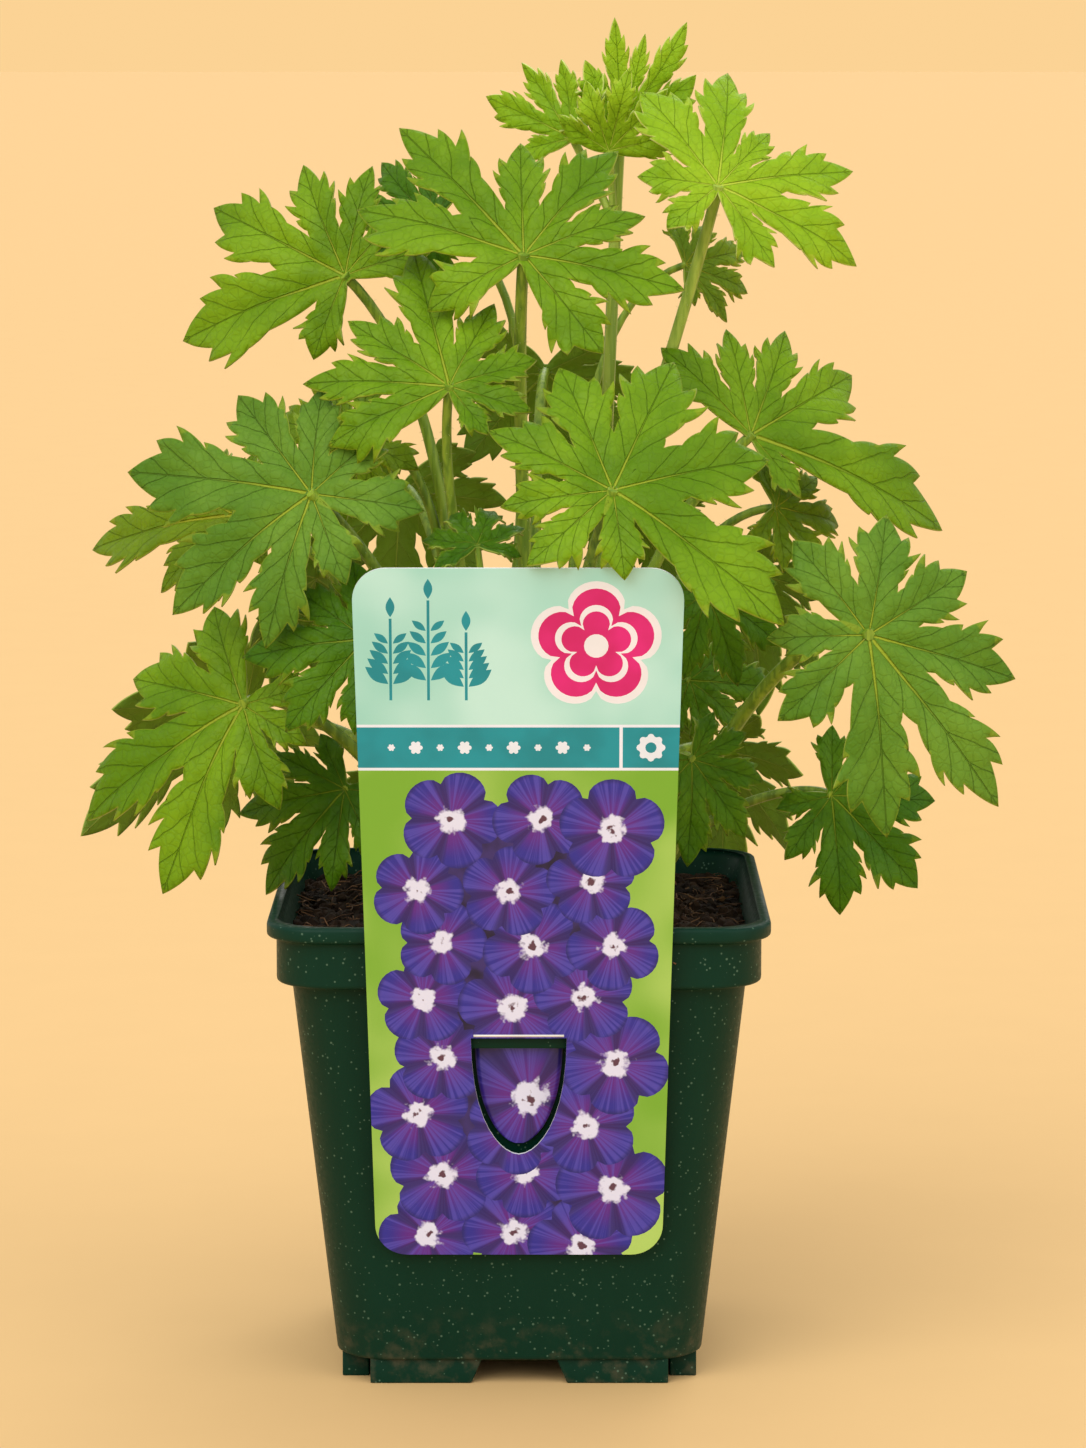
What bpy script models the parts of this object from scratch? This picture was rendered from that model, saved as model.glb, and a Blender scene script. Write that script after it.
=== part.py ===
"""Potted delphinium: a square nursery pot with its soil, a hanging label and a leafy plant.

The pot stands on the floor with its axis on the origin, +Z up and its label toward -Y.
Dimensions below are in millimetres, and every body is scaled to metres when it is made.
Each leaf with its stalk is one node, and so is the leafy shoot. The label hangs on a bar
moulded on the pot, and the stems stand in plain holes in the soil.
"""
import math
import random

import bmesh
import bpy
from mathutils import Matrix, Vector
from mathutils.geometry import delaunay_2d_cdt

MM = 0.001
PLANT = "potted_delphinium"
WELD = 0.0001

# pot: half widths are measured across the flats, levels are heights above the floor
POT_HEIGHT = 105.0
LIP_HALF, LIP_TALL = 55.0, 3.6
COLLAR_HALF, COLLAR_FOOT = 53.0, 90.9
BODY_TOP_HALF, BODY_FOOT_HALF = 49.8, 40.6
BODY_FOOT = 5.5
CORNER, CORNER_STEPS = 12.0, 4
WALL = 1.4
EASED = 0.6
FLOOR_TOP = 8.0
FOOT_HALF, FOOT_INNER = 39.4, 33.5
FOOT_GAP, FOOT_SLANT, FOOT_END = 8.0, 2.6, 33.0
BAR_WIDE, BAR_TALL, BAR_DEEP = 25.0, 2.6, 1.3
BAR_LEVEL, BAR_BACK = 79.4, 50.6
POST_GAP = 0.6

# soil: its top is a little below the rim, the stems stand in holes, and lumps lie apart
SOIL_TOP = 99.6
SOIL_GAP = 0.3
HOLE_DEPTH, HOLE_GAP = 13.0, 0.3
FOOT_DEPTH = 12.0
STEM_RISE = 1.5
LUMP, LUMPS = 6.0, 90
LUMP_LOW, LUMP_HIGH = -1.3, 0.9
LUMP_CORNER = 1.78

# label: a leaning trapezoid with a window and a tongue cut from the same sheet
LABEL_TOP_WIDE, LABEL_FOOT_WIDE, LABEL_LONG = 70.0, 63.0, 156.0
LABEL_THICK, LABEL_CORNER = 0.6, 7.0
LABEL_FOOT_Y, LABEL_FOOT_Z, LABEL_LEAN = -45.6, 31.0, 9.2
WINDOW_WIDE, WINDOW_TOP, WINDOW_FOOT = 20.8, 50.6, 23.6
TONGUE_WIDE, TONGUE_FOOT = 19.6, 56.0
TONGUE_OFF, TONGUE_BEND, TONGUE_HANG = 0.8, 82.0, 80.0

# leaves: blade thickness, how high the blade rises between midribs, depth of the sinuses,
# place of the two corners beside the stalk as (share of a lobe, turn beyond it in degrees)
BLADE = 0.7
PLEAT, PLEAT_TURN = 0.16, 24.0
SINUS = 0.36
NOTCH, NOTCH_TURN = 0.10, 42.0
# lobes droop unevenly: least share of the droop, its spread, and two steps that mix it
SWAY_LEAST, SWAY_SPREAD, SWAY_STEP, SWAY_REACH = 0.8, 0.4, 0.618, 0.13
# lobes past SLIM_FROM grow longer faster than wider, and keep a gap to their neighbours
SLIM_FROM, SLIM_POWER = 32.0, 0.4
LOBE_GAP, FREE_TURN = 1.5, 24.0
NARROWEST, WIDEST = 0.4, 1.1
# half of a lobe as (distance along the midrib, half width), both as shares of its length
BOLD_SIDE = ((0.42, 0.12), (0.68, 0.235), (0.70, 0.15), (0.86, 0.145), (0.865, 0.08))
PLAIN_SIDE = ((0.44, 0.13), (0.72, 0.235), (0.75, 0.13))
BOLD_RIB, PLAIN_RIB = (0.32, 0.66), (0.5,)
# stalks: steps, where the two handles of the arc lie as shares of its span, share of the
# bow at the second, how they meet the hub (along the leaf, behind it), thinning, and the
# height of the tip above the blade
STALK_STEPS = 5
STALK_RISE, STALK_REACH, STALK_BOW = 0.42, 0.26, 0.6
STALK_ALONG, STALK_BEHIND = 0.55, 0.6
STALK_THINS, STALK_TIP = 0.28, 0.75

# Each leaf: hub (x, y, z), the way its face looks (turn to +X, rise above level), turn of
# its middle lobe in its plane, droop in radians over one length, stalk radius, stem foot
# (x, y), sideways bow of the stalk (x, y), and its lobes as (angle, length)
LEAVES = {
    "leaf_mid_high": ((1, -30, 249), (-8, 30), 180, 0.30, 1.75, (3, -7), (0, 0), (
        (-140, 29), (-100, 36), (-66, 28), (-33, 34), (6, 29), (42, 47), (70, 42), (121, 24))),
    "leaf_left_high": ((-39, 0, 243), (-18, 15), -110, 0.35, 1.5, (-12, -1), (0, 0), (
        (-140, 21), (-108, 22), (-77, 26), (-42, 30), (-5, 40), (38, 45), (91, 20))),
    "leaf_mid_left": ((-15, -38, 221), (-5, 32), 170, 0.25, 1.4, (-4, -14), (0, 0), (
        (-132, 15), (-97, 19), (-58, 20), (-12, 23), (26, 38), (64, 29), (95, 33), (126, 29))),
    "leaf_left": ((-45, -40, 198), (-12, 22), -90, 0.35, 1.6, (-11, -11), (0, 0), (
        (-186, 25), (-135, 22), (-90, 25), (-50, 31), (-8, 45), (40, 41), (76, 35), (115, 22))),
    "leaf_left_low": ((-61, -26, 150), (-22, 22), -30, 0.45, 1.6, (-20, -8), (0, 0), (
        (-122, 26), (-71, 32), (-27, 49), (9, 46), (56, 25), (94, 18), (140, 16))),
    "leaf_inner_left": ((-33, -46, 167), (-10, 22), -40, 0.40, 1.3, (-14, -19), (0, 0), (
        (-125, 19), (-84, 21), (-43, 29), (-1, 27), (36, 21), (78, 22), (122, 15))),
    "leaf_low_left": ((-39, -12, 129), (-12, 22), -20, 0.50, 1.2, (-24, -17), (0, 0), (
        (-131, 15), (-96, 20), (-59, 27), (-20, 31), (14, 23), (48, 18), (106, 15))),
    "leaf_front": ((20, -66, 201), (5, 30), 10, 0.35, 1.7, (6, -17), (0, 0), (
        (-5, 20), (43, 46), (95, 36), (145, 37), (187, 33), (229, 30), (266, 24), (301, 25))),
    "leaf_right": ((52, -5, 208), (30, 25), 80, 0.40, 1.6, (14, 3), (0, 0), (
        (-48, 18), (-12, 58), (34, 38), (66, 31), (98, 26), (136, 28))),
    "leaf_right_low": ((75, -56, 169), (12, 12), 35, 0.35, 1.8, (29, -12), (12, 10), (
        (-125, 22), (-84, 27), (-30, 44), (3, 48), (39, 36), (85, 27), (132, 27), (181, 26))),
    "leaf_low_right": ((70, -8, 127), (10, 12), 30, 0.30, 1.3, (31, -3), (0, 0), (
        (-108, 13), (-68, 18), (-26, 27), (14, 30), (56, 25), (106, 17), (146, 16))),
    "leaf_right_high": ((44, -6, 263), (15, 28), 180, 0.40, 1.7, (12, -5), (0, 0), (
        (-149, 22), (-116, 37), (-80, 35), (-46, 21), (-15, 33), (26, 30), (79, 18), (127, 16))),
    # seen behind the front leaves
    "leaf_small_right": ((38, 32, 244), (30, 20), 60, 0.40, 1.1, (8, 7), (6, 0), (
        (-56, 10), (-22, 17), (12, 20), (42, 21), (76, 14), (120, 12))),
    "leaf_far_left": ((-64, -4, 190), (-30, 25), -60, 0.45, 1.3, (-20, 2), (0, 0), (
        (-124, 16), (-86, 20), (-52, 32), (-21, 46), (18, 25), (60, 20), (105, 16))),
    "leaf_back_right": ((58, 12, 190), (35, 20), 60, 0.40, 1.3, (20, 4), (0, 0), (
        (-100, 12), (-60, 15), (-20, 18), (20, 23), (54, 17), (90, 15), (126, 14))),
    "leaf_beside_label": ((41, -26, 175), (15, 15), 30, 0.50, 1.2, (20, -15), (0, 0), (
        (-125, 14), (-84, 17), (-46, 20), (-9, 23), (27, 23), (66, 18), (106, 14))),
    "leaf_beside_mid": ((38, -8, 153), (25, 12), 50, 0.40, 1.1, (21, -6), (0, 0), (
        (-116, 12), (-74, 14), (-34, 17), (2, 18), (34, 25), (72, 17), (112, 12))),
    "leaf_beside_low": ((38, -34, 139), (12, 12), 25, 0.40, 1.2, (24, -21), (0, 0), (
        (-112, 13), (-70, 19), (-28, 24), (10, 22), (47, 18), (88, 14), (126, 12))),
    "leaf_tiny_front": ((-9, -42, 187), (-5, 45), -170, 0.40, 1.0, (-3, -20), (0, 0), (
        (-110, 10), (-66, 12), (-22, 13), (22, 13), (66, 13), (110, 11))),
    "leaf_behind_high": ((-20, 16, 254), (-25, 20), -90, 0.35, 1.2, (-6, 6), (0, 0), (
        (-112, 14), (-76, 17), (-42, 24), (-12, 28), (26, 20), (66, 17), (110, 14))),
    "leaf_behind_left": ((-36, -4, 207), (-15, 20), -60, 0.40, 1.3, (-13, 5), (0, 0), (
        (-125, 16), (-84, 20), (-42, 24), (0, 26), (42, 24), (84, 20), (125, 16))),
    # the far side of the plant
    "leaf_rear_low_left": ((-66, 64, 136), (-160, 20), 60, 0.40, 1.6, (-15, 12), (0, 0), (
        (-126, 22), (-84, 28), (-42, 36), (-2, 49), (40, 36), (82, 28), (124, 22))),
    "leaf_rear_left": ((-28, 58, 190), (-165, 28), 0, 0.40, 1.5, (-8, 14), (0, 0), (
        (-126, 20), (-84, 26), (-42, 32), (0, 35), (42, 32), (84, 26), (126, 20))),
    "leaf_rear_high": ((6, 52, 218), (175, 35), 0, 0.40, 1.5, (3, 10), (0, 0), (
        (-126, 20), (-84, 25), (-42, 31), (0, 34), (42, 31), (84, 25), (126, 20))),
    "leaf_rear_right": ((52, 48, 172), (140, 25), 0, 0.45, 1.5, (19, 13), (0, 0), (
        (-126, 20), (-84, 26), (-42, 32), (0, 36), (42, 32), (84, 26), (126, 20))),
    "leaf_rear_mid": ((6, 64, 156), (180, 22), 0, 0.45, 1.4, (2, 20), (0, 0), (
        (-126, 20), (-84, 26), (-42, 31), (0, 34), (42, 31), (84, 26), (126, 20))),
    "leaf_rear_low_right": ((46, 60, 128), (150, 22), 0, 0.50, 1.4, (13, 22), (0, 0), (
        (-126, 20), (-84, 26), (-42, 31), (0, 34), (42, 31), (84, 26), (126, 20))),
    "leaf_rear_low": ((-22, 62, 122), (-170, 22), 0, 0.50, 1.3, (-8, 23), (0, 0), (
        (-126, 18), (-84, 24), (-42, 28), (0, 31), (42, 28), (84, 24), (126, 18))),
    "leaf_rear_inner": ((26, 42, 188), (165, 28), -20, 0.40, 1.3, (8, 17), (0, 0), (
        (-126, 16), (-84, 21), (-42, 26), (0, 28), (42, 26), (84, 21), (126, 16))),
    "leaf_rear_side": ((-48, 34, 172), (-125, 25), 20, 0.45, 1.3, (-21, 8), (0, 0), (
        (-126, 18), (-84, 24), (-42, 28), (0, 30), (42, 28), (84, 24), (126, 18))),
}
# these keep the double teeth, the rest are plainer because they sit further back
BOLD = ("leaf_mid_high", "leaf_left_high", "leaf_mid_left", "leaf_left", "leaf_left_low",
        "leaf_inner_left", "leaf_low_left", "leaf_front", "leaf_right", "leaf_right_low",
        "leaf_low_right", "leaf_right_high")
YOUNG = ("leaf_right_high",)

# the leafy shoot: stem from foot to tip, then its young leaves as in the table above,
# with the place where each short stalk leaves the stem instead of a foot
SHOOT_STEM = ((13, 12), (17, 14, 150), (20, 15, 215), (22, 18, 262), (23, 19, 276))
SHOOT_RADIUS = (1.9, 1.2)
SHOOT_LEAVES = {
    "young_left": ((12, 17, 273), (-30, 10), -150, -0.20, 1.0, (21, 16, 255), (
        (-54, 16), (-18, 18), (10, 22), (38, 24), (72, 14))),
    "young_middle": ((20, 13, 270), (-10, -20), 150, 0.20, 0.9, (21, 16, 258), (
        (-44, 18), (-14, 20), (14, 20), (46, 17), (84, 14))),
    "young_tip": ((23, 20, 275), (12, -12), 180, 0.20, 1.0, (22, 18, 268), (
        (-56, 21), (-32, 28), (-13, 22), (5, 25), (30, 18))),
}


def clear_scene():
    for old in list(bpy.data.objects):
        bpy.data.objects.remove(old, do_unlink=True)


def new_collection(name):
    made = bpy.data.collections.new(name)
    bpy.context.scene.collection.children.link(made)
    return made


def material(name, colour, roughness):
    made = bpy.data.materials.new(name)
    made.use_nodes = True
    shader = made.node_tree.nodes["Principled BSDF"]
    shader.inputs["Base Color"].default_value = (*colour, 1.0)
    shader.inputs["Roughness"].default_value = roughness
    made.diffuse_color = (*colour, 1.0)
    return made


def body_from(bm, name, paint=None):
    """Weld, face outward, scale to metres and place a mesh as a named object."""
    bmesh.ops.remove_doubles(bm, verts=bm.verts, dist=WELD)
    bmesh.ops.recalc_face_normals(bm, faces=bm.faces)
    bmesh.ops.scale(bm, vec=(MM, MM, MM), verts=bm.verts)
    mesh = bpy.data.meshes.new(name)
    bm.to_mesh(mesh)
    bm.free()
    made = bpy.data.objects.new(name, mesh)
    bpy.data.collections[PLANT].objects.link(made)
    if paint:
        mesh.materials.append(paint)
    return made


def evaluated_mesh(body):
    bpy.context.view_layer.update()
    seen = body.evaluated_get(bpy.context.evaluated_depsgraph_get())
    return bpy.data.meshes.new_from_object(seen)


def combine(body, others, operation):
    """Join or cut several closed bodies in one Boolean, then remove them."""
    group = new_collection("operands")
    for other in others:
        bpy.data.collections[PLANT].objects.unlink(other)
        group.objects.link(other)
        other.display_type = "WIRE"
        other.hide_render = True
    step = body.modifiers.new("combine", "BOOLEAN")
    step.operation = operation
    step.operand_type = "COLLECTION"
    step.collection = group
    made = evaluated_mesh(body)
    body.modifiers.clear()
    body.data = made
    for other in others:
        bpy.data.objects.remove(other, do_unlink=True)
    bpy.data.collections.remove(group)
    return body


def box(x, y, z, name):
    """A plain block between the given ends on each axis."""
    bm = bmesh.new()
    bmesh.ops.create_cube(bm, size=1.0)
    ends = (x, y, z)
    bmesh.ops.scale(bm, vec=[high - low for low, high in ends], verts=bm.verts)
    bmesh.ops.translate(bm, vec=[(low + high) / 2 for low, high in ends], verts=bm.verts)
    return body_from(bm, name)


def slab(outline, out, name, paint=None):
    """A flat outline made thick by moving a copy of its face along out."""
    bm = bmesh.new()
    face = bm.faces.new([bm.verts.new(point) for point in outline])
    grown = bmesh.ops.extrude_face_region(bm, geom=[face])["geom"]
    moved = [item for item in grown if isinstance(item, bmesh.types.BMVert)]
    bmesh.ops.translate(bm, vec=out, verts=moved)
    return body_from(bm, name, paint)


def loft(bm, rings, closed_ends=True):
    """Skin a row of equal rings, with a flat face over each end."""
    rows = [[bm.verts.new(point) for point in ring] for ring in rings]
    count = len(rows[0])
    for low, high in zip(rows, rows[1:]):
        for i in range(count):
            j = (i + 1) % count
            bm.faces.new((low[i], low[j], high[j], high[i]))
    bm.faces.new(list(reversed(rows[0])))
    if closed_ends:
        bm.faces.new(rows[-1])


def rounded_square(half, radius, level):
    """Points of a square with round corners, anticlockwise from above."""
    points = []
    for corner in range(4):
        turn = Matrix.Rotation(math.radians(90 * corner), 3, "Z")
        for step in range(CORNER_STEPS + 1):
            angle = math.radians(90 * step / CORNER_STEPS)
            x = half - radius + radius * math.cos(angle)
            y = half - radius + radius * math.sin(angle)
            points.append(turn @ Vector((x, y, level)))
    return points


def wall_half(level):
    """Half width of the pot's outside wall at a height."""
    share = (level - BODY_FOOT) / (COLLAR_FOOT - BODY_FOOT)
    return BODY_FOOT_HALF + share * (BODY_TOP_HALF - BODY_FOOT_HALF)


def make_pot(paint):
    lip_foot = POT_HEIGHT - LIP_TALL
    outside = (
        (BODY_FOOT_HALF - EASED, BODY_FOOT), (BODY_FOOT_HALF, BODY_FOOT + EASED),
        (BODY_TOP_HALF, COLLAR_FOOT - EASED), (COLLAR_HALF - EASED, COLLAR_FOOT),
        (COLLAR_HALF, COLLAR_FOOT + 2 * EASED), (COLLAR_HALF, lip_foot - EASED / 2),
        (LIP_HALF - EASED, lip_foot), (LIP_HALF, lip_foot + EASED),
        (LIP_HALF, POT_HEIGHT - EASED), (LIP_HALF - EASED, POT_HEIGHT),
    )
    inside = (
        (LIP_HALF - 2.4, POT_HEIGHT), (COLLAR_HALF - WALL, POT_HEIGHT - 1.6),
        (COLLAR_HALF - WALL - 0.6, COLLAR_FOOT + 2.0), (BODY_TOP_HALF - WALL, COLLAR_FOOT - 1.6),
        (BODY_FOOT_HALF - WALL, FLOOR_TOP + 1.0), (BODY_FOOT_HALF - WALL - 1.0, FLOOR_TOP),
    )
    bm = bmesh.new()
    loft(bm, [rounded_square(half, CORNER, level) for half, level in outside]
         + [rounded_square(half, CORNER - WALL, level) for half, level in inside])
    pot = body_from(bm, "pot", paint)

    # one band under the wall, opened inside, between the feet and at the corners
    band_top, notch_top = BODY_FOOT + 0.8, BODY_FOOT - 0.4
    past = 1.0
    band = slab(rounded_square(FOOT_HALF, CORNER - 2.0, 0.0), Vector((0, 0, band_top)), "band")
    opened = Vector((0, 0, band_top + 2 * past))
    cutters = [slab(rounded_square(FOOT_INNER, CORNER / 2, -past), opened, "middle")]
    section = ((-FOOT_GAP - FOOT_SLANT, -past), (FOOT_GAP + FOOT_SLANT, -past),
               (FOOT_GAP, notch_top), (-FOOT_GAP, notch_top))
    through = Vector((0, FOOT_HALF - FOOT_INNER + 2 * past, 0))
    for side in range(4):
        gap = slab([Vector((x, FOOT_INNER - past, z)) for x, z in section], through, "gap")
        ends = (FOOT_END, FOOT_HALF + past)
        corner = box(ends, ends, (-past, notch_top), "corner")
        for cutter in (gap, corner):
            cutter.data.transform(Matrix.Rotation(math.radians(90 * side), 4, "Z"))
            cutters.append(cutter)
    combine(band, cutters, "DIFFERENCE")

    # the bar for the label stands off the front wall on two short posts
    levels = (BAR_LEVEL - BAR_TALL / 2, BAR_LEVEL + BAR_TALL / 2)
    bar = box((-BAR_WIDE / 2, BAR_WIDE / 2), (-BAR_BACK - BAR_DEEP, -BAR_BACK), levels, "bar")
    inner, outer = TONGUE_WIDE / 2 + POST_GAP, BAR_WIDE / 2 - 0.1
    depth = (-BAR_BACK - BAR_DEEP / 2, 1.0 - wall_half(BAR_LEVEL))
    posts = [box(ends, depth, levels, "post") for ends in ((-outer, -inner), (inner, outer))]
    return combine(pot, [band, bar] + posts, "UNION")


def make_soil(paint, stems):
    rng = random.Random(11)
    room = WALL + SOIL_GAP + 0.1
    sides = (
        (BODY_FOOT_HALF - room - 0.9, FLOOR_TOP + SOIL_GAP),
        (BODY_FOOT_HALF - room, FLOOR_TOP + 1.4),
        (BODY_TOP_HALF - room, COLLAR_FOOT - 1.2), (COLLAR_HALF - room - 0.6, COLLAR_FOOT + 2.6),
        (COLLAR_HALF - room - 0.5, SOIL_TOP - 1.8),
    )
    rings = [rounded_square(half, CORNER - WALL - SOIL_GAP, level) for half, level in sides]
    bm = bmesh.new()
    loft(bm, rings, closed_ends=False)
    # a lumpy top is laid over the last ring as a triangulated sheet
    rim = rings[-1]
    flat = [point.xy for point in rim]
    half = sides[-1][0] - LUMP / 2
    while len(flat) < len(rim) + LUMPS:
        spot = Vector((rng.uniform(-half, half), rng.uniform(-half, half)))
        inside = abs(spot.x) + abs(spot.y) < LUMP_CORNER * half
        if inside and all((spot - other).length > LUMP for other in flat[len(rim):]):
            flat.append(spot)
    edges = [(i, (i + 1) % len(rim)) for i in range(len(rim))]
    spots, _, triangles, _, _, _ = delaunay_2d_cdt(flat, edges, [], 1, 0.0001)
    verts = []
    for i, spot in enumerate(spots):
        level = rim[0].z if i < len(rim) else SOIL_TOP + rng.uniform(LUMP_LOW, LUMP_HIGH)
        verts.append(bm.verts.new((spot.x, spot.y, level)))
    for triangle in triangles:
        bm.faces.new([verts[i] for i in triangle])
    soil = body_from(bm, "soil", paint)

    holes = []
    for (x, y), radius in stems:
        bm = bmesh.new()
        wide, deep = radius + HOLE_GAP, HOLE_DEPTH + 4.0
        bmesh.ops.create_cone(bm, cap_ends=True, segments=6, radius1=wide, radius2=wide, depth=deep)
        bmesh.ops.translate(bm, vec=(x, y, SOIL_TOP - HOLE_DEPTH + deep / 2), verts=bm.verts)
        holes.append(body_from(bm, "hole"))
    return combine(soil, holes, "DIFFERENCE")


def on_label(across, along, out=0.0):
    """A point of the leaning sheet: across it, up it from its foot, and out of its face."""
    lean = math.radians(LABEL_LEAN)
    return Vector((across, LABEL_FOOT_Y - along * math.sin(lean) - out * math.cos(lean),
                   LABEL_FOOT_Z + along * math.cos(lean) - out * math.sin(lean)))


def make_label(paint):
    corners = ((LABEL_FOOT_WIDE / 2, 0, 1), (LABEL_TOP_WIDE / 2, LABEL_LONG, 1),
               (-LABEL_TOP_WIDE / 2, LABEL_LONG, -1), (-LABEL_FOOT_WIDE / 2, 0, -1))
    outline = []
    for turn, (x, s, side) in zip((-90, 0, 90, 180), corners):
        middle = Vector((x - side * LABEL_CORNER, s + (LABEL_CORNER if s == 0 else -LABEL_CORNER)))
        for step in range(6):
            spot = middle + polar(LABEL_CORNER, turn + 18 * step)
            outline.append(on_label(*spot))
    out = on_label(0, 0, 1) - on_label(0, 0)
    label = slab(outline, out * LABEL_THICK, "label", paint)

    tall = WINDOW_TOP - WINDOW_FOOT
    edge = [(WINDOW_WIDE / 2 * round_end(share), WINDOW_TOP - share * tall)
            for share in (0.0, 0.2, 0.4, 0.6, 0.76, 0.88, 0.96)]
    edge += [(0.0, WINDOW_FOOT)] + [(-x, s) for x, s in reversed(edge)]
    window = slab([on_label(x, s, -2.0) for x, s in edge], out * 5.0, "window")
    combine(label, [window], "DIFFERENCE")

    # the tongue leaves the sheet over the bar and then hangs along the pot's wall
    hang, half = TONGUE_OFF + 0.1 - BAR_BACK, TONGUE_WIDE / 2
    root = on_label(0, WINDOW_TOP + 0.75, LABEL_THICK / 2)
    turns = ((hang - 1.2, TONGUE_BEND), (hang - 0.2, TONGUE_BEND - 0.5), (hang, TONGUE_HANG + 0.4))
    path = [(root.yz, half)] + [(Vector(spot), half) for spot in turns]
    for share in (0.15, 0.35, 0.55, 0.72, 0.85, 0.94, 0.99):
        level = TONGUE_HANG + (TONGUE_FOOT - TONGUE_HANG) * share
        wide = (half - 0.2) * round_end(share)
        path.append((Vector((-wall_half(level) - TONGUE_OFF, level)), wide))
    rings = []
    for i, (spot, half) in enumerate(path):
        along = (path[min(i + 1, len(path) - 1)][0] - path[max(i - 1, 0)][0]).normalized()
        side = Vector((-along.y, along.x)) * LABEL_THICK / 2
        rings.append([Vector((x, *(spot + k * side))) for x, k in
                      ((-half, -1), (half, -1), (half, 1), (-half, 1))])
    bm = bmesh.new()
    loft(bm, rings)
    return combine(label, [body_from(bm, "tongue")], "UNION")


def round_end(share):
    """Width share of the window and the tongue, from a straight top (0) to a round foot (1)."""
    return (1 - 0.06 * share) * (1 - share ** 2.6) ** 0.55


def polar(radius, degrees):
    angle = math.radians(degrees)
    return Vector((radius * math.cos(angle), radius * math.sin(angle)))


def leaf_axes(facing, clock):
    """Directions of the middle lobe, of the leaf's left side and of its face."""
    turn, rise, spin = (math.radians(a) for a in (*facing, clock))
    face = Vector((math.sin(turn) * math.cos(rise), -math.cos(turn) * math.cos(rise), math.sin(rise)))
    down = Vector((math.sin(turn) * math.sin(rise), -math.cos(turn) * math.sin(rise), -math.cos(rise)))
    across = Vector((math.cos(turn), math.sin(turn), 0.0))
    ahead = down * math.cos(spin) + across * math.sin(spin)
    return ahead, face.cross(ahead), face


def blade_plan(lobes, side):
    """Flat outline of a blade, and the points of the midrib of each lobe."""
    outline, ribs = [], []
    widest = max(wide / far for far, wide in side)
    outline.append(polar(NOTCH * lobes[0][1], lobes[0][0] - NOTCH_TURN))
    for i, (angle, length) in enumerate(lobes):
        slim = min(1.0, (SLIM_FROM / length) ** SLIM_POWER)
        spread = []
        for step in (-1, 1):
            room = FREE_TURN
            if 0 <= i + step < len(lobes):
                room = abs(lobes[i + step][0] - angle) / 2 - LOBE_GAP
            fits = math.tan(math.radians(room)) / widest
            spread.append(slim * min(WIDEST, max(NARROWEST, fits)))
        if i > 0:
            before, shorter = lobes[i - 1][0], min(length, lobes[i - 1][1])
            outline.append(polar(SINUS * shorter, (angle + before) / 2))
        ahead, left = polar(length, angle), polar(length, angle + 90)
        outline += [ahead * far - left * wide * spread[0] for far, wide in side]
        outline.append(ahead)
        outline += [ahead * far + left * wide * spread[1] for far, wide in reversed(side)]
        ribs.append([ahead * share for share in (BOLD_RIB if side is BOLD_SIDE else PLAIN_RIB)])
    outline.append(polar(NOTCH * lobes[-1][1], lobes[-1][0] + NOTCH_TURN))
    return outline, ribs


def bend(point, lobes, droop):
    """Lift a flat point into the blade: lobes arch down and rise between midribs."""
    radius = point.length
    if radius < 1e-6:
        return Vector((0.0, 0.0, 0.0))
    angle = math.degrees(math.atan2(point.y, point.x))
    middle = (lobes[0][0] + lobes[-1][0]) / 2
    angle += 360 * round((middle - angle) / 360)
    nearest = min(range(len(lobes)), key=lambda i: abs(lobes[i][0] - angle))
    reach = max(length for _, length in lobes)
    near = min(abs(lobes[nearest][0] - angle), PLEAT_TURN)
    sway = SWAY_LEAST + SWAY_SPREAD * ((nearest * SWAY_STEP + reach * SWAY_REACH) % 1.0)
    curl = droop * (sway + (1 - sway) * near / PLEAT_TURN) / reach
    out = math.sin(curl * radius) / curl / radius
    rise = -(1 - math.cos(curl * radius)) / curl + PLEAT * radius * math.sin(math.radians(near))
    return Vector((point.x * out, point.y * out, rise))


def make_blade(hub, facing, clock, droop, lobes, side, name):
    """One thin blade, split into triangles so that both faces bend alike."""
    outline, ribs = blade_plan(lobes, side)
    edges = [(i, (i + 1) % len(outline)) for i in range(len(outline))]
    flat = outline + [Vector((0.0, 0.0))]
    for rib in ribs:
        last = len(outline)
        for point in rib:
            edges.append((last, len(flat)))
            last = len(flat)
            flat.append(point)
    spots, _, triangles, _, _, _ = delaunay_2d_cdt(flat, edges, [], 1, 0.0001)
    ahead, left, face = leaf_axes(facing, clock)
    bm = bmesh.new()
    verts = []
    for spot in spots:
        x, y, z = bend(spot, lobes, droop)
        verts.append(bm.verts.new(Vector(hub) + ahead * x + left * y + face * z))
    for triangle in triangles:
        bm.faces.new([verts[i] for i in triangle])
    blade = body_from(bm, name)
    skin = blade.modifiers.new("thickness", "SOLIDIFY")
    skin.thickness = BLADE * MM
    skin.offset = 0.0
    made = evaluated_mesh(blade)
    blade.modifiers.clear()
    blade.data = made
    return blade


def make_tube(points, radii, name, resolution=1):
    """A round stem through the given points, as a mesh with welded caps."""
    curve = bpy.data.curves.new(name, "CURVE")
    curve.dimensions = "3D"
    curve.bevel_depth = MM
    curve.bevel_resolution = resolution
    curve.use_fill_caps = True
    spline = curve.splines.new("POLY")
    spline.points.add(len(points) - 1)
    for spot, point, radius in zip(spline.points, points, radii):
        spot.co = (*(point * MM), 1.0)
        spot.radius = radius
    guide = bpy.data.objects.new(name, curve)
    bpy.data.collections[PLANT].objects.link(guide)
    bm = bmesh.new()
    bm.from_mesh(evaluated_mesh(guide))
    bpy.data.objects.remove(guide, do_unlink=True)
    bmesh.ops.scale(bm, vec=(1 / MM, 1 / MM, 1 / MM), verts=bm.verts)
    return body_from(bm, name)


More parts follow.
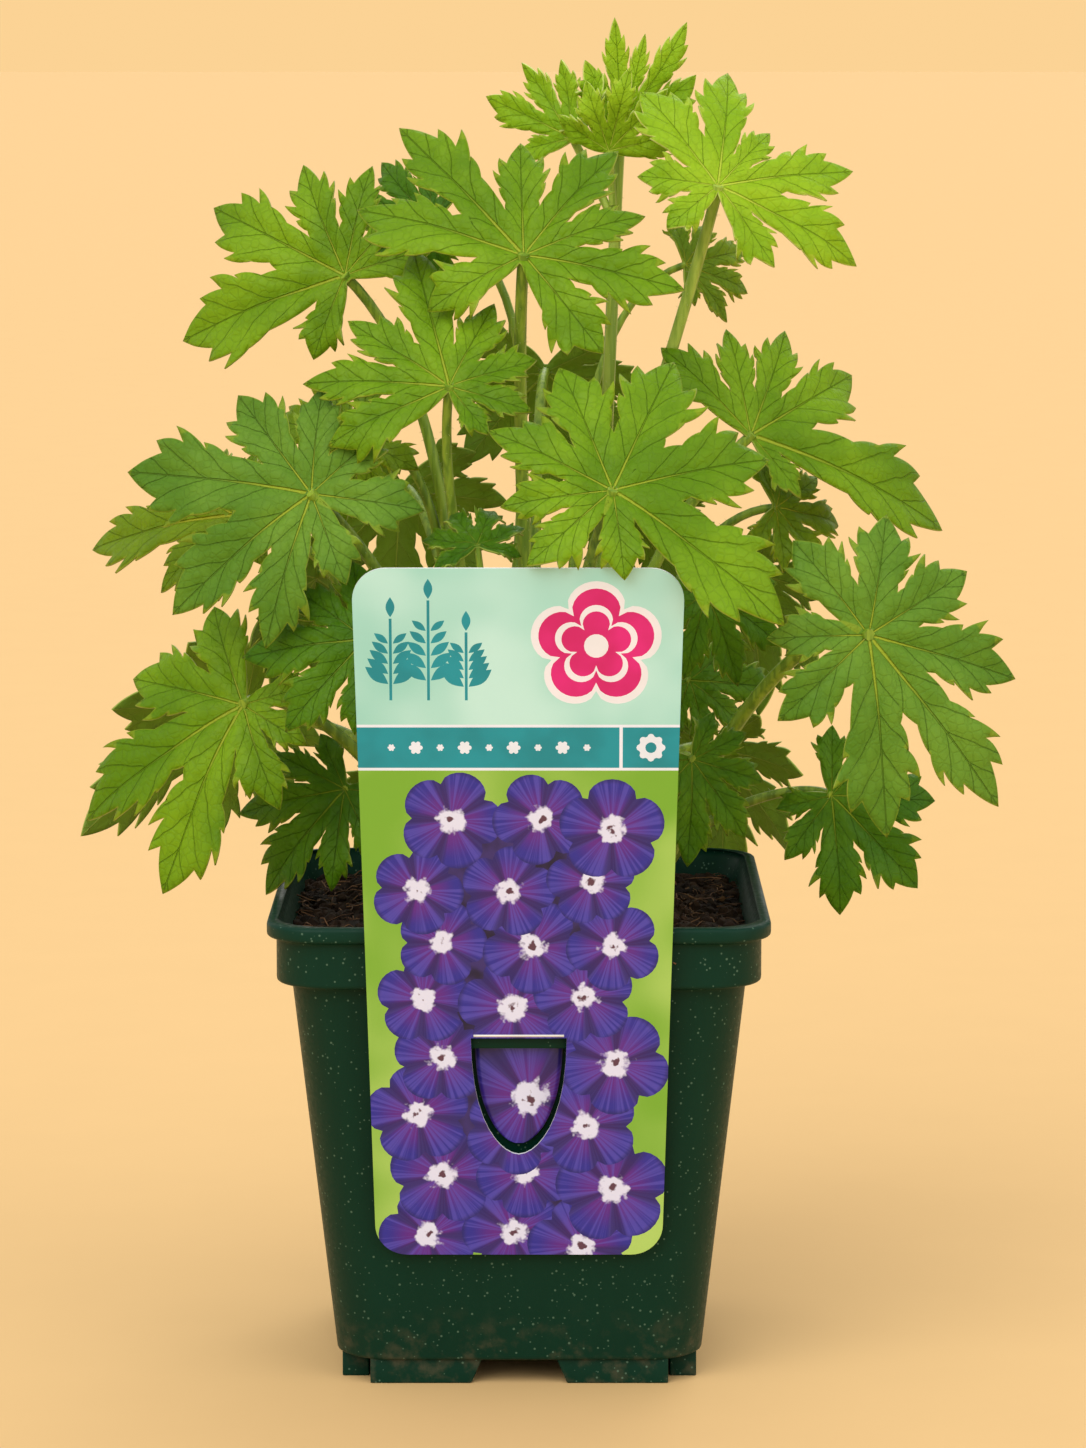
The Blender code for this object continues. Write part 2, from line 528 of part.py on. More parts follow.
def stalk_path(foot, hub, facing, clock, lobes, bow):
    """Upright in its hole, then a smooth arc that meets the hub from behind its sinus."""
    ahead, left, face = leaf_axes(facing, clock)
    notch = polar(1, (lobes[0][0] + lobes[-1][0]) / 2 + 180)
    away = ((ahead * notch.x + left * notch.y) * STALK_ALONG - face * STALK_BEHIND).normalized()
    start, end = Vector((*foot, SOIL_TOP + STEM_RISE)), Vector(hub)
    span = (end - start).length
    lean = Vector((*bow, 0.0))
    first = start + Vector((0, 0, span * STALK_RISE)) + lean
    second = end + away * span * STALK_REACH + lean * STALK_BOW
    points = [Vector((*foot, SOIL_TOP - FOOT_DEPTH))]
    for k in range(STALK_STEPS + 1):
        t = k / STALK_STEPS
        points.append(start * (1 - t) ** 3 + first * 3 * t * (1 - t) ** 2
                      + second * 3 * t * t * (1 - t) + end * t ** 3)
    points[-1] = end + face * STALK_TIP
    return points


def make_leaf(name, paint):
    hub, facing, clock, droop, radius, foot, bow, lobes = LEAVES[name]
    side = BOLD_SIDE if name in BOLD else PLAIN_SIDE
    blade = make_blade(hub, facing, clock, droop, lobes, side, name)
    blade.data.materials.append(paint)
    points = stalk_path(foot, hub, facing, clock, lobes, bow)
    thinner = [1 - STALK_THINS * k / STALK_STEPS for k in range(STALK_STEPS + 1)]
    radii = [radius] + [radius * share for share in thinner]
    return combine(blade, [make_tube(points, radii, "stalk")], "UNION")


def make_shoot(paint):
    """The tall stem with its young leaves, grown together as one piece."""
    base = SHOOT_STEM[0]
    points = [Vector((*base, SOIL_TOP - FOOT_DEPTH)), Vector((*base, SOIL_TOP + STEM_RISE))]
    points += [Vector(point) for point in SHOOT_STEM[1:]]
    thick, thin = SHOOT_RADIUS
    radii = [thick + (thin - thick) * max(i - 1, 0) / (len(points) - 2) for i in range(len(points))]
    pieces = []
    for name, (hub, facing, clock, droop, radius, origin, lobes) in SHOOT_LEAVES.items():
        pieces.append(make_blade(hub, facing, clock, droop, lobes, PLAIN_SIDE, name))
        face = leaf_axes(facing, clock)[2]
        middle = (Vector(origin) + Vector(hub)) / 2 - face - Vector((0, 0, 0.8))
        route = [Vector(origin), middle, Vector(hub) + face * STALK_TIP]
        pieces.append(make_tube(route, [radius] * 3, "stalk"))
    stem = make_tube(points, radii, "shoot", resolution=2)
    stem.data.materials.append(paint)
    return combine(stem, pieces, "UNION")


clear_scene()
new_collection(PLANT)
pot_green = material("pot_plastic", (0.012, 0.060, 0.045), 0.42)
peat = material("peat", (0.040, 0.020, 0.010), 0.95)
sheet = material("label_plastic", (0.45, 0.72, 0.62), 0.35)
leaf_green = material("leaf_green", (0.075, 0.190, 0.022), 0.50)
young_green = material("young_green", (0.260, 0.440, 0.040), 0.50)

stems = [(leaf[5], leaf[4]) for leaf in LEAVES.values()]
stems.append((SHOOT_STEM[0], SHOOT_RADIUS[0]))
make_pot(pot_green)
make_soil(peat, stems)
make_label(sheet)
for leaf_name in LEAVES:
    make_leaf(leaf_name, young_green if leaf_name in YOUNG else leaf_green)
make_shoot(young_green)
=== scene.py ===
# %% [markdown]
# # A delphinium in its nursery pot
# This lesson dresses a plain CAD model of a potted perennial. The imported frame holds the
# pot, the soil, the label, thirty leaves and one leafy shoot as simple closed solids.
# Each step below replaces one of them by a finer piece of the same form and in the same
# place, and gives it a material made of nodes. All sizes are in millimetres, and every
# mesh is scaled to metres as it is made.

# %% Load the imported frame
import math
import random

import bmesh
import bpy
import numpy as np
from mathutils import Matrix, Vector
from mathutils.geometry import delaunay_2d_cdt


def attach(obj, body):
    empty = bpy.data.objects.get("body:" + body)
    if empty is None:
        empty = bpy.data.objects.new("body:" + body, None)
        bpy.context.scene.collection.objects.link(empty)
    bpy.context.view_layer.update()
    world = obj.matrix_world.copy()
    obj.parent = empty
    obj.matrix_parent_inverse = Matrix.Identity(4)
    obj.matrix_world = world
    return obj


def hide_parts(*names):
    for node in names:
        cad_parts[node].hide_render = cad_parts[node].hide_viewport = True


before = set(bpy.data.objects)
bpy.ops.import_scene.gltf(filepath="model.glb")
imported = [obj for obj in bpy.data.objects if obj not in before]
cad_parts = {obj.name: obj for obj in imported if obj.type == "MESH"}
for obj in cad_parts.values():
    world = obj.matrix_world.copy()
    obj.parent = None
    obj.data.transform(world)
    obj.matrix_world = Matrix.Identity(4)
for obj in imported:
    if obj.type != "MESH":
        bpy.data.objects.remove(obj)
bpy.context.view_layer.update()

MM = 0.001

# %% [markdown]
# The camera comes first, because every comparison with the photograph depends on it. It
# stands a little above the rim of the pot, about 1.1 m away, and looks slightly down.
# Its focal length is given in pixels of the photograph, which is how it was measured.

# %% Place the camera
PHOTO_TALL = 1448
FOCAL_PIXELS = 5004
SENSOR = 36.0
CAMERA_PLACE = (5.25 * MM, -1118 * MM, 296 * MM)
CAMERA_PITCH = 7.84


def put(name, data):
    """A new object in the scene, at the origin."""
    made = bpy.data.objects.new(name, data)
    bpy.context.scene.collection.objects.link(made)
    return made


lens = bpy.data.cameras.new("camera")
lens.sensor_fit = "VERTICAL"
lens.sensor_height = SENSOR
lens.lens = FOCAL_PIXELS / PHOTO_TALL * SENSOR
camera = put("camera", lens)
camera.location = CAMERA_PLACE
camera.rotation_euler = (math.radians(90 - CAMERA_PITCH), 0.0, 0.0)
bpy.context.scene.camera = camera
bpy.context.scene.view_settings.view_transform = "Standard"
print("camera lens:", round(lens.lens, 1), "mm")

# %% [markdown]
# Shader trees are easier to read when one line makes one node. These small helpers make
# a node, set its sockets or link them, and hand back the socket that comes next.

# %% Helpers for node trees
def feed(tree, node, sockets):
    """Link or set a node's inputs, given by name or number."""
    for key, value in sockets.items():
        if isinstance(value, bpy.types.NodeSocket):
            tree.links.new(value, node.inputs[key])
        else:
            node.inputs[key].default_value = value


def add(tree, kind, sockets=None, **settings):
    """Make a node, set its properties, and feed its inputs."""
    node = tree.nodes.new(kind)
    for key, value in settings.items():
        setattr(node, key, value)
    feed(tree, node, sockets or {})
    return node


def calc(tree, operation, first, second=0.0, clamp=False):
    sockets = {0: first, 1: second}
    return add(tree, "ShaderNodeMath", sockets, operation=operation, use_clamp=clamp).outputs[0]


def fade(tree, value, start, end, low=0.0, high=1.0):
    """A smooth step from low at start to high at end."""
    sockets = {"Value": value, "From Min": start, "From Max": end, "To Min": low, "To Max": high}
    node = add(tree, "ShaderNodeMapRange", sockets, interpolation_type="SMOOTHSTEP")
    return node.outputs["Result"]


def mix(tree, share, first, second):
    """Mix two colours, given as sockets or as RGB values."""
    colours = [c if isinstance(c, bpy.types.NodeSocket) else (*c, 1.0) for c in (first, second)]
    sockets = {0: share, 6: colours[0], 7: colours[1]}
    return add(tree, "ShaderNodeMix", sockets, data_type="RGBA").outputs[2]


def noise(tree, spot, scale, detail=3.0, rough=0.55):
    sockets = {"Vector": spot, "Scale": scale, "Detail": detail, "Roughness": rough}
    return add(tree, "ShaderNodeTexNoise", sockets).outputs["Fac"]


def new_group(name, inputs, outputs):
    """An empty shader group with named sockets; inputs map a name to a start value."""
    tree = bpy.data.node_groups.new(name, "ShaderNodeTree")
    for key, value in inputs.items():
        kind = "NodeSocketVector" if value is None else "NodeSocketFloat"
        made = tree.interface.new_socket(key, in_out="INPUT", socket_type=kind)
        if value is not None:
            made.default_value = value
    for key in outputs:
        tree.interface.new_socket(key, in_out="OUTPUT", socket_type="NodeSocketFloat")
    return tree, add(tree, "NodeGroupInput").outputs, add(tree, "NodeGroupOutput").inputs


def use_group(tree, group, sockets):
    return add(tree, "ShaderNodeGroup", sockets, node_tree=group).outputs


def new_material(name):
    made = bpy.data.materials.new(name)
    made.use_nodes = True
    tree = made.node_tree
    return made, tree, tree.nodes["Principled BSDF"]


def object_spot(tree):
    return add(tree, "ShaderNodeTexCoord").outputs["Object"]


def bump(tree, height, depth, shader):
    """Feed a height in millimetres into the shader's normal."""
    sockets = {"Height": height, "Strength": 1.0, "Distance": depth * MM}
    tree.links.new(add(tree, "ShaderNodeBump", sockets).outputs[0], shader.inputs["Normal"])


print("node helpers ready")

# %% [markdown]
# Two effects return in several finishes: small pale specks, and a fine grain that breaks
# up gloss. Each is one shader group with named inputs, made once.

# %% Shared shader groups
speck_group, given, wanted = new_group("specks", {"Spot": None, "Scale": 300.0, "Size": 0.2,
                                                  "Share": 0.2}, ("Mask",))
tree = speck_group
cells = add(tree, "ShaderNodeTexVoronoi", {"Vector": given["Spot"], "Scale": given["Scale"]})
picked = add(tree, "ShaderNodeSeparateColor", {0: cells.outputs["Color"]})
chosen = calc(tree, "LESS_THAN", picked.outputs[0], given["Share"])
wide = calc(tree, "MULTIPLY", given["Size"], calc(tree, "ADD", picked.outputs[1], 0.3))
inside = calc(tree, "SUBTRACT", 1.0, calc(tree, "DIVIDE", cells.outputs["Distance"], wide), clamp=True)
tree.links.new(calc(tree, "MULTIPLY", chosen, fade(tree, inside, 0.0, 0.35)), wanted["Mask"])

grain_group, given, wanted = new_group("grain", {"Spot": None, "Scale": 800.0}, ("Height", "Cloud"))
tree = grain_group
fine = noise(tree, given["Spot"], given["Scale"], 4.0, 0.6)
broad = noise(tree, given["Spot"], calc(tree, "MULTIPLY", given["Scale"], 0.04), 3.0, 0.5)
tree.links.new(fine, wanted["Height"])
tree.links.new(broad, wanted["Cloud"])
print("shared groups:", [group.name for group in bpy.data.node_groups])

# %% [markdown]
# The object stands on a plain pale peach floor in soft studio light. One very wide floor
# does for the backdrop as well, so that the scene looks the same from every side. The
# world gives an even warm fill, and three wide soft suns give form and gloss.

# %% Floor, world and lamps
PEACH = (0.742, 0.497, 0.228)
HORIZON = (0.97, 0.65, 0.30)
FLOOR_RADIUS = 40.0
FLOOR_SIDES = 64
FILL, FILL_POWER = (1.0, 0.955, 0.88), 0.79
LAMPS = (("key", (-0.55, -1.0, 1.0), 50.0, 1.5, (1.0, 0.975, 0.925)),
         ("fill", (1.0, -0.8, 0.55), 50.0, 0.7, (1.0, 0.97, 0.92)),
         ("back", (0.25, 1.0, 0.9), 40.0, 0.8, (1.0, 0.97, 0.92)))


def to_mesh(bm, name):
    mesh = bpy.data.meshes.new(name)
    bm.to_mesh(mesh)
    bm.free()
    return mesh


def make_floor():
    bm = bmesh.new()
    bmesh.ops.create_circle(bm, cap_ends=True, segments=FLOOR_SIDES, radius=FLOOR_RADIUS)
    floor = put("floor", to_mesh(bm, "floor"))
    made, tree, shader = new_material("peach_paper")
    cloud = use_group(tree, grain_group, {"Spot": object_spot(tree), "Scale": 900.0})
    colour = mix(tree, cloud["Cloud"], [c * 0.97 for c in PEACH], PEACH)
    feed(tree, shader, {"Base Color": colour, "Roughness": 0.9, "Specular IOR Level": 0.2})
    floor.data.materials.append(made)
    return floor


def make_lamp(name, place, spread, power, colour):
    """A far soft lamp whose light is even over the whole floor."""
    lamp = bpy.data.lights.new(name, "SUN")
    lamp.angle = math.radians(spread)
    lamp.energy = power
    lamp.color = colour
    made = put(name, lamp)
    made.rotation_euler = (-Vector(place)).to_track_quat("-Z", "Y").to_euler()


def make_world():
    world = bpy.data.worlds.new("studio")
    world.use_nodes = True
    tree = world.node_tree
    seen = add(tree, "ShaderNodeBackground", {"Color": (*HORIZON, 1.0), "Strength": 1.0})
    fill = add(tree, "ShaderNodeBackground", {"Color": (*FILL, 1.0), "Strength": FILL_POWER})
    path = add(tree, "ShaderNodeLightPath")
    both = add(tree, "ShaderNodeMixShader", {0: path.outputs["Is Camera Ray"], 1: fill.outputs[0],
                                             2: seen.outputs[0]})
    tree.links.new(both.outputs[0], tree.nodes["World Output"].inputs["Surface"])
    bpy.context.scene.world = world


make_floor()
make_world()
for lamp in LAMPS:
    make_lamp(*lamp)
print("stage ready")

# %% [markdown]
# Every visible piece is a plain mesh at the origin with its place in its points. One
# helper makes it from millimetres, gives it its materials, hangs it on the root body, and
# hides the CAD nodes that it stands for.

# %% Helper for pieces
def make_piece(name, source, nodes, materials, smooth=True):
    """Turn a bmesh in millimetres, or a finished mesh in metres, into a riding piece."""
    if isinstance(source, bmesh.types.BMesh):
        bmesh.ops.scale(source, vec=(MM, MM, MM), verts=source.verts)
        mesh = to_mesh(source, name)
    else:
        mesh = source
    if not mesh.materials:
        for finish in materials:
            mesh.materials.append(finish)
    if smooth:
        mesh.shade_smooth()
    piece = put(name, mesh)
    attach(piece, "root")
    if nodes:
        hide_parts(*nodes)
    return piece


def apply_modifiers(piece):
    """Bake the piece's modifiers into its mesh, so that nothing live is left on it."""
    bpy.context.view_layer.update()
    seen = piece.evaluated_get(bpy.context.evaluated_depsgraph_get())
    made = bpy.data.meshes.new_from_object(seen)
    piece.modifiers.clear()
    old = piece.data
    piece.data = made
    bpy.data.meshes.remove(old)
    made.name = piece.name


def count(piece):
    return sum(len(face.vertices) - 2 for face in piece.data.polygons)


print("piece helper ready")

# %% [markdown]
# The pot is one moulding in dark green plastic. A square with round corners is drawn at
# each height and skinned into a wall. The CAD model turns each corner in four steps, and
# here it takes twelve, with every edge of lip and collar softly rounded, because satin
# plastic shows each facet as a hard line.

# %% Make the pot's wall
POT_HEIGHT = 105.0
LIP_HALF, LIP_TALL = 55.0, 3.6
COLLAR_HALF, COLLAR_FOOT = 53.0, 90.9
BODY_TOP_HALF, BODY_FOOT_HALF, BODY_FOOT = 49.8, 40.6, 5.5
CORNER, CORNER_STEPS = 12.0, 12
WALL, FLOOR_TOP = 1.4, 8.0
EASED = 0.9
MOUTH = 2.4


def rounded_square(half, radius, level, steps=CORNER_STEPS):
    """Points of a square with round corners, anticlockwise from above."""
    points = []
    for corner in range(4):
        turn = Matrix.Rotation(math.radians(90 * corner), 3, "Z")
        for step in range(steps + 1):
            angle = math.radians(90 * step / steps)
            x = half - radius + radius * math.cos(angle)
            y = half - radius + radius * math.sin(angle)
            points.append(turn @ Vector((x, y, level)))
    return points


def loft(bm, rings, closed=True):
    """Skin equal rings in order, with a face over the first and, if closed, over the last."""
    rows = [[bm.verts.new(point) for point in ring] for ring in rings]
    size = len(rows[0])
    for low, high in zip(rows, rows[1:]):
        for i in range(size):
            j = (i + 1) % size
            bm.faces.new((low[i], low[j], high[j], high[i]))
    bm.faces.new(list(reversed(rows[0])))
    if closed:
        bm.faces.new(rows[-1])
    return rows


def eased_profile(points, reach, steps=3):
    """Round every inner point of a profile by a short curve of the given reach."""
    made = [Vector(points[0])]
    for before, here, after in zip(points, points[1:], points[2:]):
        before, here, after = Vector(before), Vector(here), Vector(after)
        cut = min(reach, (here - before).length * 0.45, (after - here).length * 0.45)
        start = here + (before - here).normalized() * cut
        end = here + (after - here).normalized() * cut
        for step in range(steps + 1):
            t = step / steps
            made.append(start * (1 - t) ** 2 + here * 2 * t * (1 - t) + end * t * t)
    made.append(Vector(points[-1]))
    return made


lip_foot = POT_HEIGHT - LIP_TALL
outside = ((BODY_FOOT_HALF - 6.0, BODY_FOOT), (BODY_FOOT_HALF, BODY_FOOT), (BODY_TOP_HALF, COLLAR_FOOT),
           (COLLAR_HALF, COLLAR_FOOT + 0.4), (COLLAR_HALF, lip_foot), (LIP_HALF, lip_foot + 0.2),
           (LIP_HALF, POT_HEIGHT), (LIP_HALF - MOUTH, POT_HEIGHT))
inside = ((LIP_HALF - MOUTH, POT_HEIGHT - 0.1), (COLLAR_HALF - WALL, POT_HEIGHT - 1.6),
          (BODY_TOP_HALF - WALL, COLLAR_FOOT - 1.6), (BODY_FOOT_HALF - WALL, FLOOR_TOP + 1.0),
          (BODY_FOOT_HALF - WALL - 1.0, FLOOR_TOP))

pot_bm = bmesh.new()
loft(pot_bm, [rounded_square(half, CORNER, level) for half, level in eased_profile(outside, EASED)]
     + [rounded_square(half, CORNER - WALL, level) for half, level in inside])
bmesh.ops.recalc_face_normals(pot_bm, faces=pot_bm.faces)
print("pot wall faces:", len(pot_bm.faces))

# %% [markdown]
# The green plastic is dyed through and nearly matte. Light finds small pale specks in it
# from recycled material, faint vertical draw marks from the mould, and a little dry soil
# dust on the foot. The specks' pattern is tilted, so that no flat wall shows it in rows.

# %% Finish of the pot
def pot_finish():
    made, tree, shader = new_material("pot_plastic")
    spot = object_spot(tree)
    tilted = add(tree, "ShaderNodeMapping", {"Vector": spot, "Rotation": (0.6, 0.5, 0.4)}).outputs[0]
    small = use_group(tree, speck_group, {"Spot": tilted, "Scale": 1050.0, "Size": 0.26, "Share": 0.42})
    large = use_group(tree, speck_group, {"Spot": tilted, "Scale": 420.0, "Size": 0.12, "Share": 0.06})
    specks = calc(tree, "MAXIMUM", small["Mask"], large["Mask"])
    grain = use_group(tree, grain_group, {"Spot": spot, "Scale": 900.0})
    stretched = add(tree, "ShaderNodeMapping", {"Vector": spot, "Scale": (320.0, 320.0, 6.0)})
    marks = noise(tree, stretched.outputs[0], 1.0, 2.0)
    green = mix(tree, grain["Cloud"], (0.0006, 0.022, 0.013), (0.0012, 0.030, 0.018))
    green = mix(tree, calc(tree, "MULTIPLY", marks, 0.25), green, (0.003, 0.046, 0.028))
    height = add(tree, "ShaderNodeSeparateXYZ", {0: spot}).outputs["Z"]
    low = fade(tree, height, 0.020, 0.004, 0.0, 0.30)
    dust = calc(tree, "MULTIPLY", low, fade(tree, noise(tree, spot, 260.0, 4.0), 0.45, 0.75))
    green = mix(tree, dust, green, (0.16, 0.12, 0.075))
    green = mix(tree, calc(tree, "MULTIPLY", specks, 0.38), green, (0.17, 0.30, 0.22))
    rough = fade(tree, grain["Height"], 0.3, 0.7, 0.36, 0.50)
    feed(tree, shader, {"Base Color": green, "Roughness": rough, "Specular IOR Level": 0.13})
    uneven = calc(tree, "ADD", grain["Height"], calc(tree, "MULTIPLY", marks, 0.6))
    bump(tree, uneven, 0.035, shader)
    return made


pot_plastic = pot_finish()
pot_wall = make_piece("pot_wall", pot_bm, ["pot"], [pot_plastic])
print("pot wall:", count(pot_wall), "triangles")

# %% [markdown]
# Under the wall stand eight low feet, two on each side, with slanting ends next to the
# middle gap. One foot is drawn as a prism, and turned and mirrored for the other seven.
# The bar that carries the label stands off the front wall on two posts.

# %% Make the feet and the label's bar
FOOT_HALF, FOOT_INNER = 39.4, 33.5
FOOT_GAP, FOOT_SLANT, FOOT_END = 8.0, 2.6, 33.0
BAR_WIDE, BAR_TALL, BAR_DEEP = 25.0, 2.6, 1.3
BAR_LEVEL, BAR_BACK = 79.4, 50.6
POST_GAP = 0.6
TONGUE_WIDE = 19.6
FOOT_EASE, BAR_EASE = 0.35, 0.25


def wall_half(level):
    """Half width of the pot's outside wall at a height."""
    share = (level - BODY_FOOT) / (COLLAR_FOOT - BODY_FOOT)
    return BODY_FOOT_HALF + share * (BODY_TOP_HALF - BODY_FOOT_HALF)


def prism(bm, outline, out):
    """Add a closed prism on a flat outline."""
    face = bm.faces.new([bm.verts.new(point) for point in outline])
    grown = bmesh.ops.extrude_face_region(bm, geom=[face])["geom"]
    moved = [item for item in grown if isinstance(item, bmesh.types.BMVert)]
    bmesh.ops.translate(bm, vec=out, verts=moved)


def block(bm, x, y, z):
    prism(bm, [(x[0], y[0], z[0]), (x[1], y[0], z[0]), (x[1], y[1], z[0]), (x[0], y[1], z[0])],
          Vector((0, 0, z[1] - z[0])))


def soften(bm, width):
    bmesh.ops.recalc_face_normals(bm, faces=bm.faces)
    bmesh.ops.bevel(bm, geom=bm.edges[:], offset=width, segments=2, affect="EDGES", profile=0.6)
    bmesh.ops.recalc_face_normals(bm, faces=bm.faces)


feet_bm = bmesh.new()
for side in range(4):
    turn = Matrix.Rotation(math.radians(90 * side), 3, "Z")
    for hand in (-1, 1):
        outline = [(FOOT_GAP + FOOT_SLANT, 0.0), (FOOT_END, 0.0), (FOOT_END, BODY_FOOT + 0.6),
                   (FOOT_GAP, BODY_FOOT + 0.6)]
        points = [turn @ Vector((hand * x, -FOOT_HALF, z)) for x, z in outline]
        prism(feet_bm, points, turn @ Vector((0, FOOT_HALF - FOOT_INNER, 0)))
soften(feet_bm, FOOT_EASE)
pot_feet = make_piece("pot_feet", feet_bm, ["pot"], [pot_plastic])

bar_bm = bmesh.new()
bar_levels = (BAR_LEVEL - BAR_TALL / 2, BAR_LEVEL + BAR_TALL / 2)
block(bar_bm, (-BAR_WIDE / 2, BAR_WIDE / 2), (-BAR_BACK - BAR_DEEP, -BAR_BACK), bar_levels)
for hand in (-1, 1):
    ends = sorted((hand * (TONGUE_WIDE / 2 + POST_GAP), hand * (BAR_WIDE / 2 - 0.1)))
    block(bar_bm, ends, (-BAR_BACK - BAR_DEEP / 2, 1.0 - wall_half(BAR_LEVEL)), bar_levels)
soften(bar_bm, BAR_EASE)
pot_bar = make_piece("pot_bar", bar_bm, ["pot"], [pot_plastic])
print("feet and bar:", count(pot_feet) + count(pot_bar), "triangles")

# %% [markdown]
# Geometry Nodes do what repeats: grooved stalks that follow a path, hairs on them, and
# crumbs and fibres on the soil. Each tree is built here, takes its sizes from named
# inputs, and ends in real mesh. One helper runs a tree and hands back a plain mesh.

# %% Helpers for Geometry Nodes
ANY_TURN = (6.28, 6.28, 6.28)
HAIR_LEAN = ((-0.5, -0.5, 0.0), (0.5, 0.5, 6.28), 6)


def new_tree(name, sizes):
    """A geometry tree with a Geometry input, float or integer sizes, and a Geometry output."""
    tree = bpy.data.node_groups.new(name, "GeometryNodeTree")
    tree.interface.new_socket("Geometry", in_out="INPUT", socket_type="NodeSocketGeometry")
    for key, value in sizes.items():
        kind = "NodeSocketInt" if isinstance(value, int) else "NodeSocketFloat"
        tree.interface.new_socket(key, in_out="INPUT", socket_type=kind).default_value = value
    tree.interface.new_socket("Geometry", in_out="OUTPUT", socket_type="NodeSocketGeometry")
    return tree, add(tree, "NodeGroupInput").outputs, add(tree, "NodeGroupOutput").inputs


def close_tree(tree, last, finish, wanted, smooth=True):
    """Realize what the tree made, shade it, give it its material, and put it out."""
    real = add(tree, "GeometryNodeRealizeInstances", {0: last})
    shaded = add(tree, "GeometryNodeSetShadeSmooth", {0: real.outputs[0], "Shade Smooth": smooth})
    painted = add(tree, "GeometryNodeSetMaterial", {0: shaded.outputs[0], "Material": finish})
    tree.links.new(painted.outputs[0], wanted["Geometry"])


def random_turn(tree, least, most, seed):
    return add(tree, "FunctionNodeRandomValue", {0: least, 1: most, "Seed": seed},
               data_type="FLOAT_VECTOR").outputs["Value"]


def scatter(tree, given, thing, turn, least, most, seed):
    """Copies of a mesh on the given faces; a turn of None keeps the skin's own direction."""
    spread = add(tree, "GeometryNodeDistributePointsOnFaces", {"Mesh": given["Geometry"],
                 "Density": given["Density"], "Seed": given["Seed"]})
    if turn is None:
        lean = random_turn(tree, *HAIR_LEAN)
        turn = add(tree, "FunctionNodeRotateRotation", {"Rotation": spread.outputs["Rotation"],
                   "Rotate By": lean}, rotation_space="LOCAL").outputs["Rotation"]
    size = add(tree, "FunctionNodeRandomValue", {2: least, 3: most, "Seed": seed}, data_type="FLOAT")
    return add(tree, "GeometryNodeInstanceOnPoints", {"Points": spread.outputs["Points"],
               "Instance": thing, "Rotation": turn, "Scale": size.outputs[1]}).outputs[0]


def shaken(tree, copies, scale, detail, centre, reach):
    """Make copies real and push their points about by a coloured noise."""
    real = add(tree, "GeometryNodeRealizeInstances", {0: copies})
    wave = add(tree, "ShaderNodeTexNoise", {"Scale": scale, "Detail": detail})
    push = add(tree, "ShaderNodeVectorMath", {0: wave.outputs["Color"], 1: centre},
               operation="SUBTRACT")
    push = add(tree, "ShaderNodeVectorMath", {0: push.outputs[0], "Scale": reach}, operation="SCALE")
    return add(tree, "GeometryNodeSetPosition", {"Geometry": real.outputs[0],
               "Offset": push.outputs[0]}).outputs[0]


def grow(base_mesh, tree):
    """Run a tree on a mesh in metres and return the plain mesh that it makes."""
    carrier = put("carrier", base_mesh)
    step = carrier.modifiers.new("grow", "NODES")
    step.node_group = tree
    bpy.context.view_layer.update()
    seen = carrier.evaluated_get(bpy.context.evaluated_depsgraph_get())
    made = bpy.data.meshes.new_from_object(seen)
    carrier.modifiers.clear()
    bpy.data.objects.remove(carrier, do_unlink=True)
    return made


print("geometry helpers ready")

# %% [markdown]
# Potting soil is dark brown peat: a lumpy top with loose crumbs of many sizes and short
# reddish fibres lying on it. The body fills the pot a little below the rim. A fine sheet
# gives its top, and two node trees scatter the crumbs and fibres over that sheet.

# %% Make the soil
SOIL_TOP, SOIL_DIP = 99.6, 1.6
SOIL_HALF = COLLAR_HALF - WALL - 0.9
SOIL_STEP = 2.4


def soil_level(x, y):
    """Lumps of three sizes, lower toward the wall."""
    lumps = 1.3 * math.sin(x * 0.19 + 1.0) * math.sin(y * 0.23 + 0.4)
    lumps += 0.8 * math.sin(x * 0.61 + y * 0.37) + 0.5 * math.sin(x * 1.3 - y * 1.1 + 2.0)
    edge = max(abs(x), abs(y)) / SOIL_HALF
    return SOIL_TOP + lumps * (1 - edge ** 4) - SOIL_DIP * edge ** 6


def soil_finish():
    made, tree, shader = new_material("peat")
    spot = object_spot(tree)
    patch = noise(tree, spot, 120.0, 5.0, 0.65)
    brown = mix(tree, fade(tree, patch, 0.35, 0.7), (0.0066, 0.0033, 0.0017), (0.036, 0.0168, 0.0072))
    pale = use_group(tree, speck_group, {"Spot": spot, "Scale": 520.0, "Size": 0.35, "Share": 0.10})
    brown = mix(tree, pale["Mask"], brown, (0.102, 0.051, 0.021))
    feed(tree, shader, {"Base Color": brown, "Roughness": 0.92, "Specular IOR Level": 0.25})
    bump(tree, noise(tree, spot, 900.0, 4.0, 0.7), 0.35, shader)
    return made


peat = soil_finish()
soil_bm = bmesh.new()
soil_sides = ((BODY_FOOT_HALF - WALL - 1.4, FLOOR_TOP + 0.4),
              (BODY_TOP_HALF - WALL - 0.6, COLLAR_FOOT - 1.2),
              (SOIL_HALF - 0.4, COLLAR_FOOT + 3.0), (SOIL_HALF, SOIL_TOP - SOIL_DIP))
rings = [rounded_square(half, CORNER - WALL - 0.4, level, 6) for half, level in soil_sides]
rim = loft(soil_bm, rings, closed=False)[-1]
flat = [point.xy for point in rings[-1]]
reach = SOIL_HALF - SOIL_STEP
steps = int(2 * reach / SOIL_STEP)
for i in range(steps + 1):
    for j in range(steps + 1):
        x, y = -reach + 2 * reach * i / steps, -reach + 2 * reach * j / steps
        if abs(x) + abs(y) < 2 * SOIL_HALF - 0.6 * CORNER - SOIL_STEP:
            flat.append(Vector((x, y)))
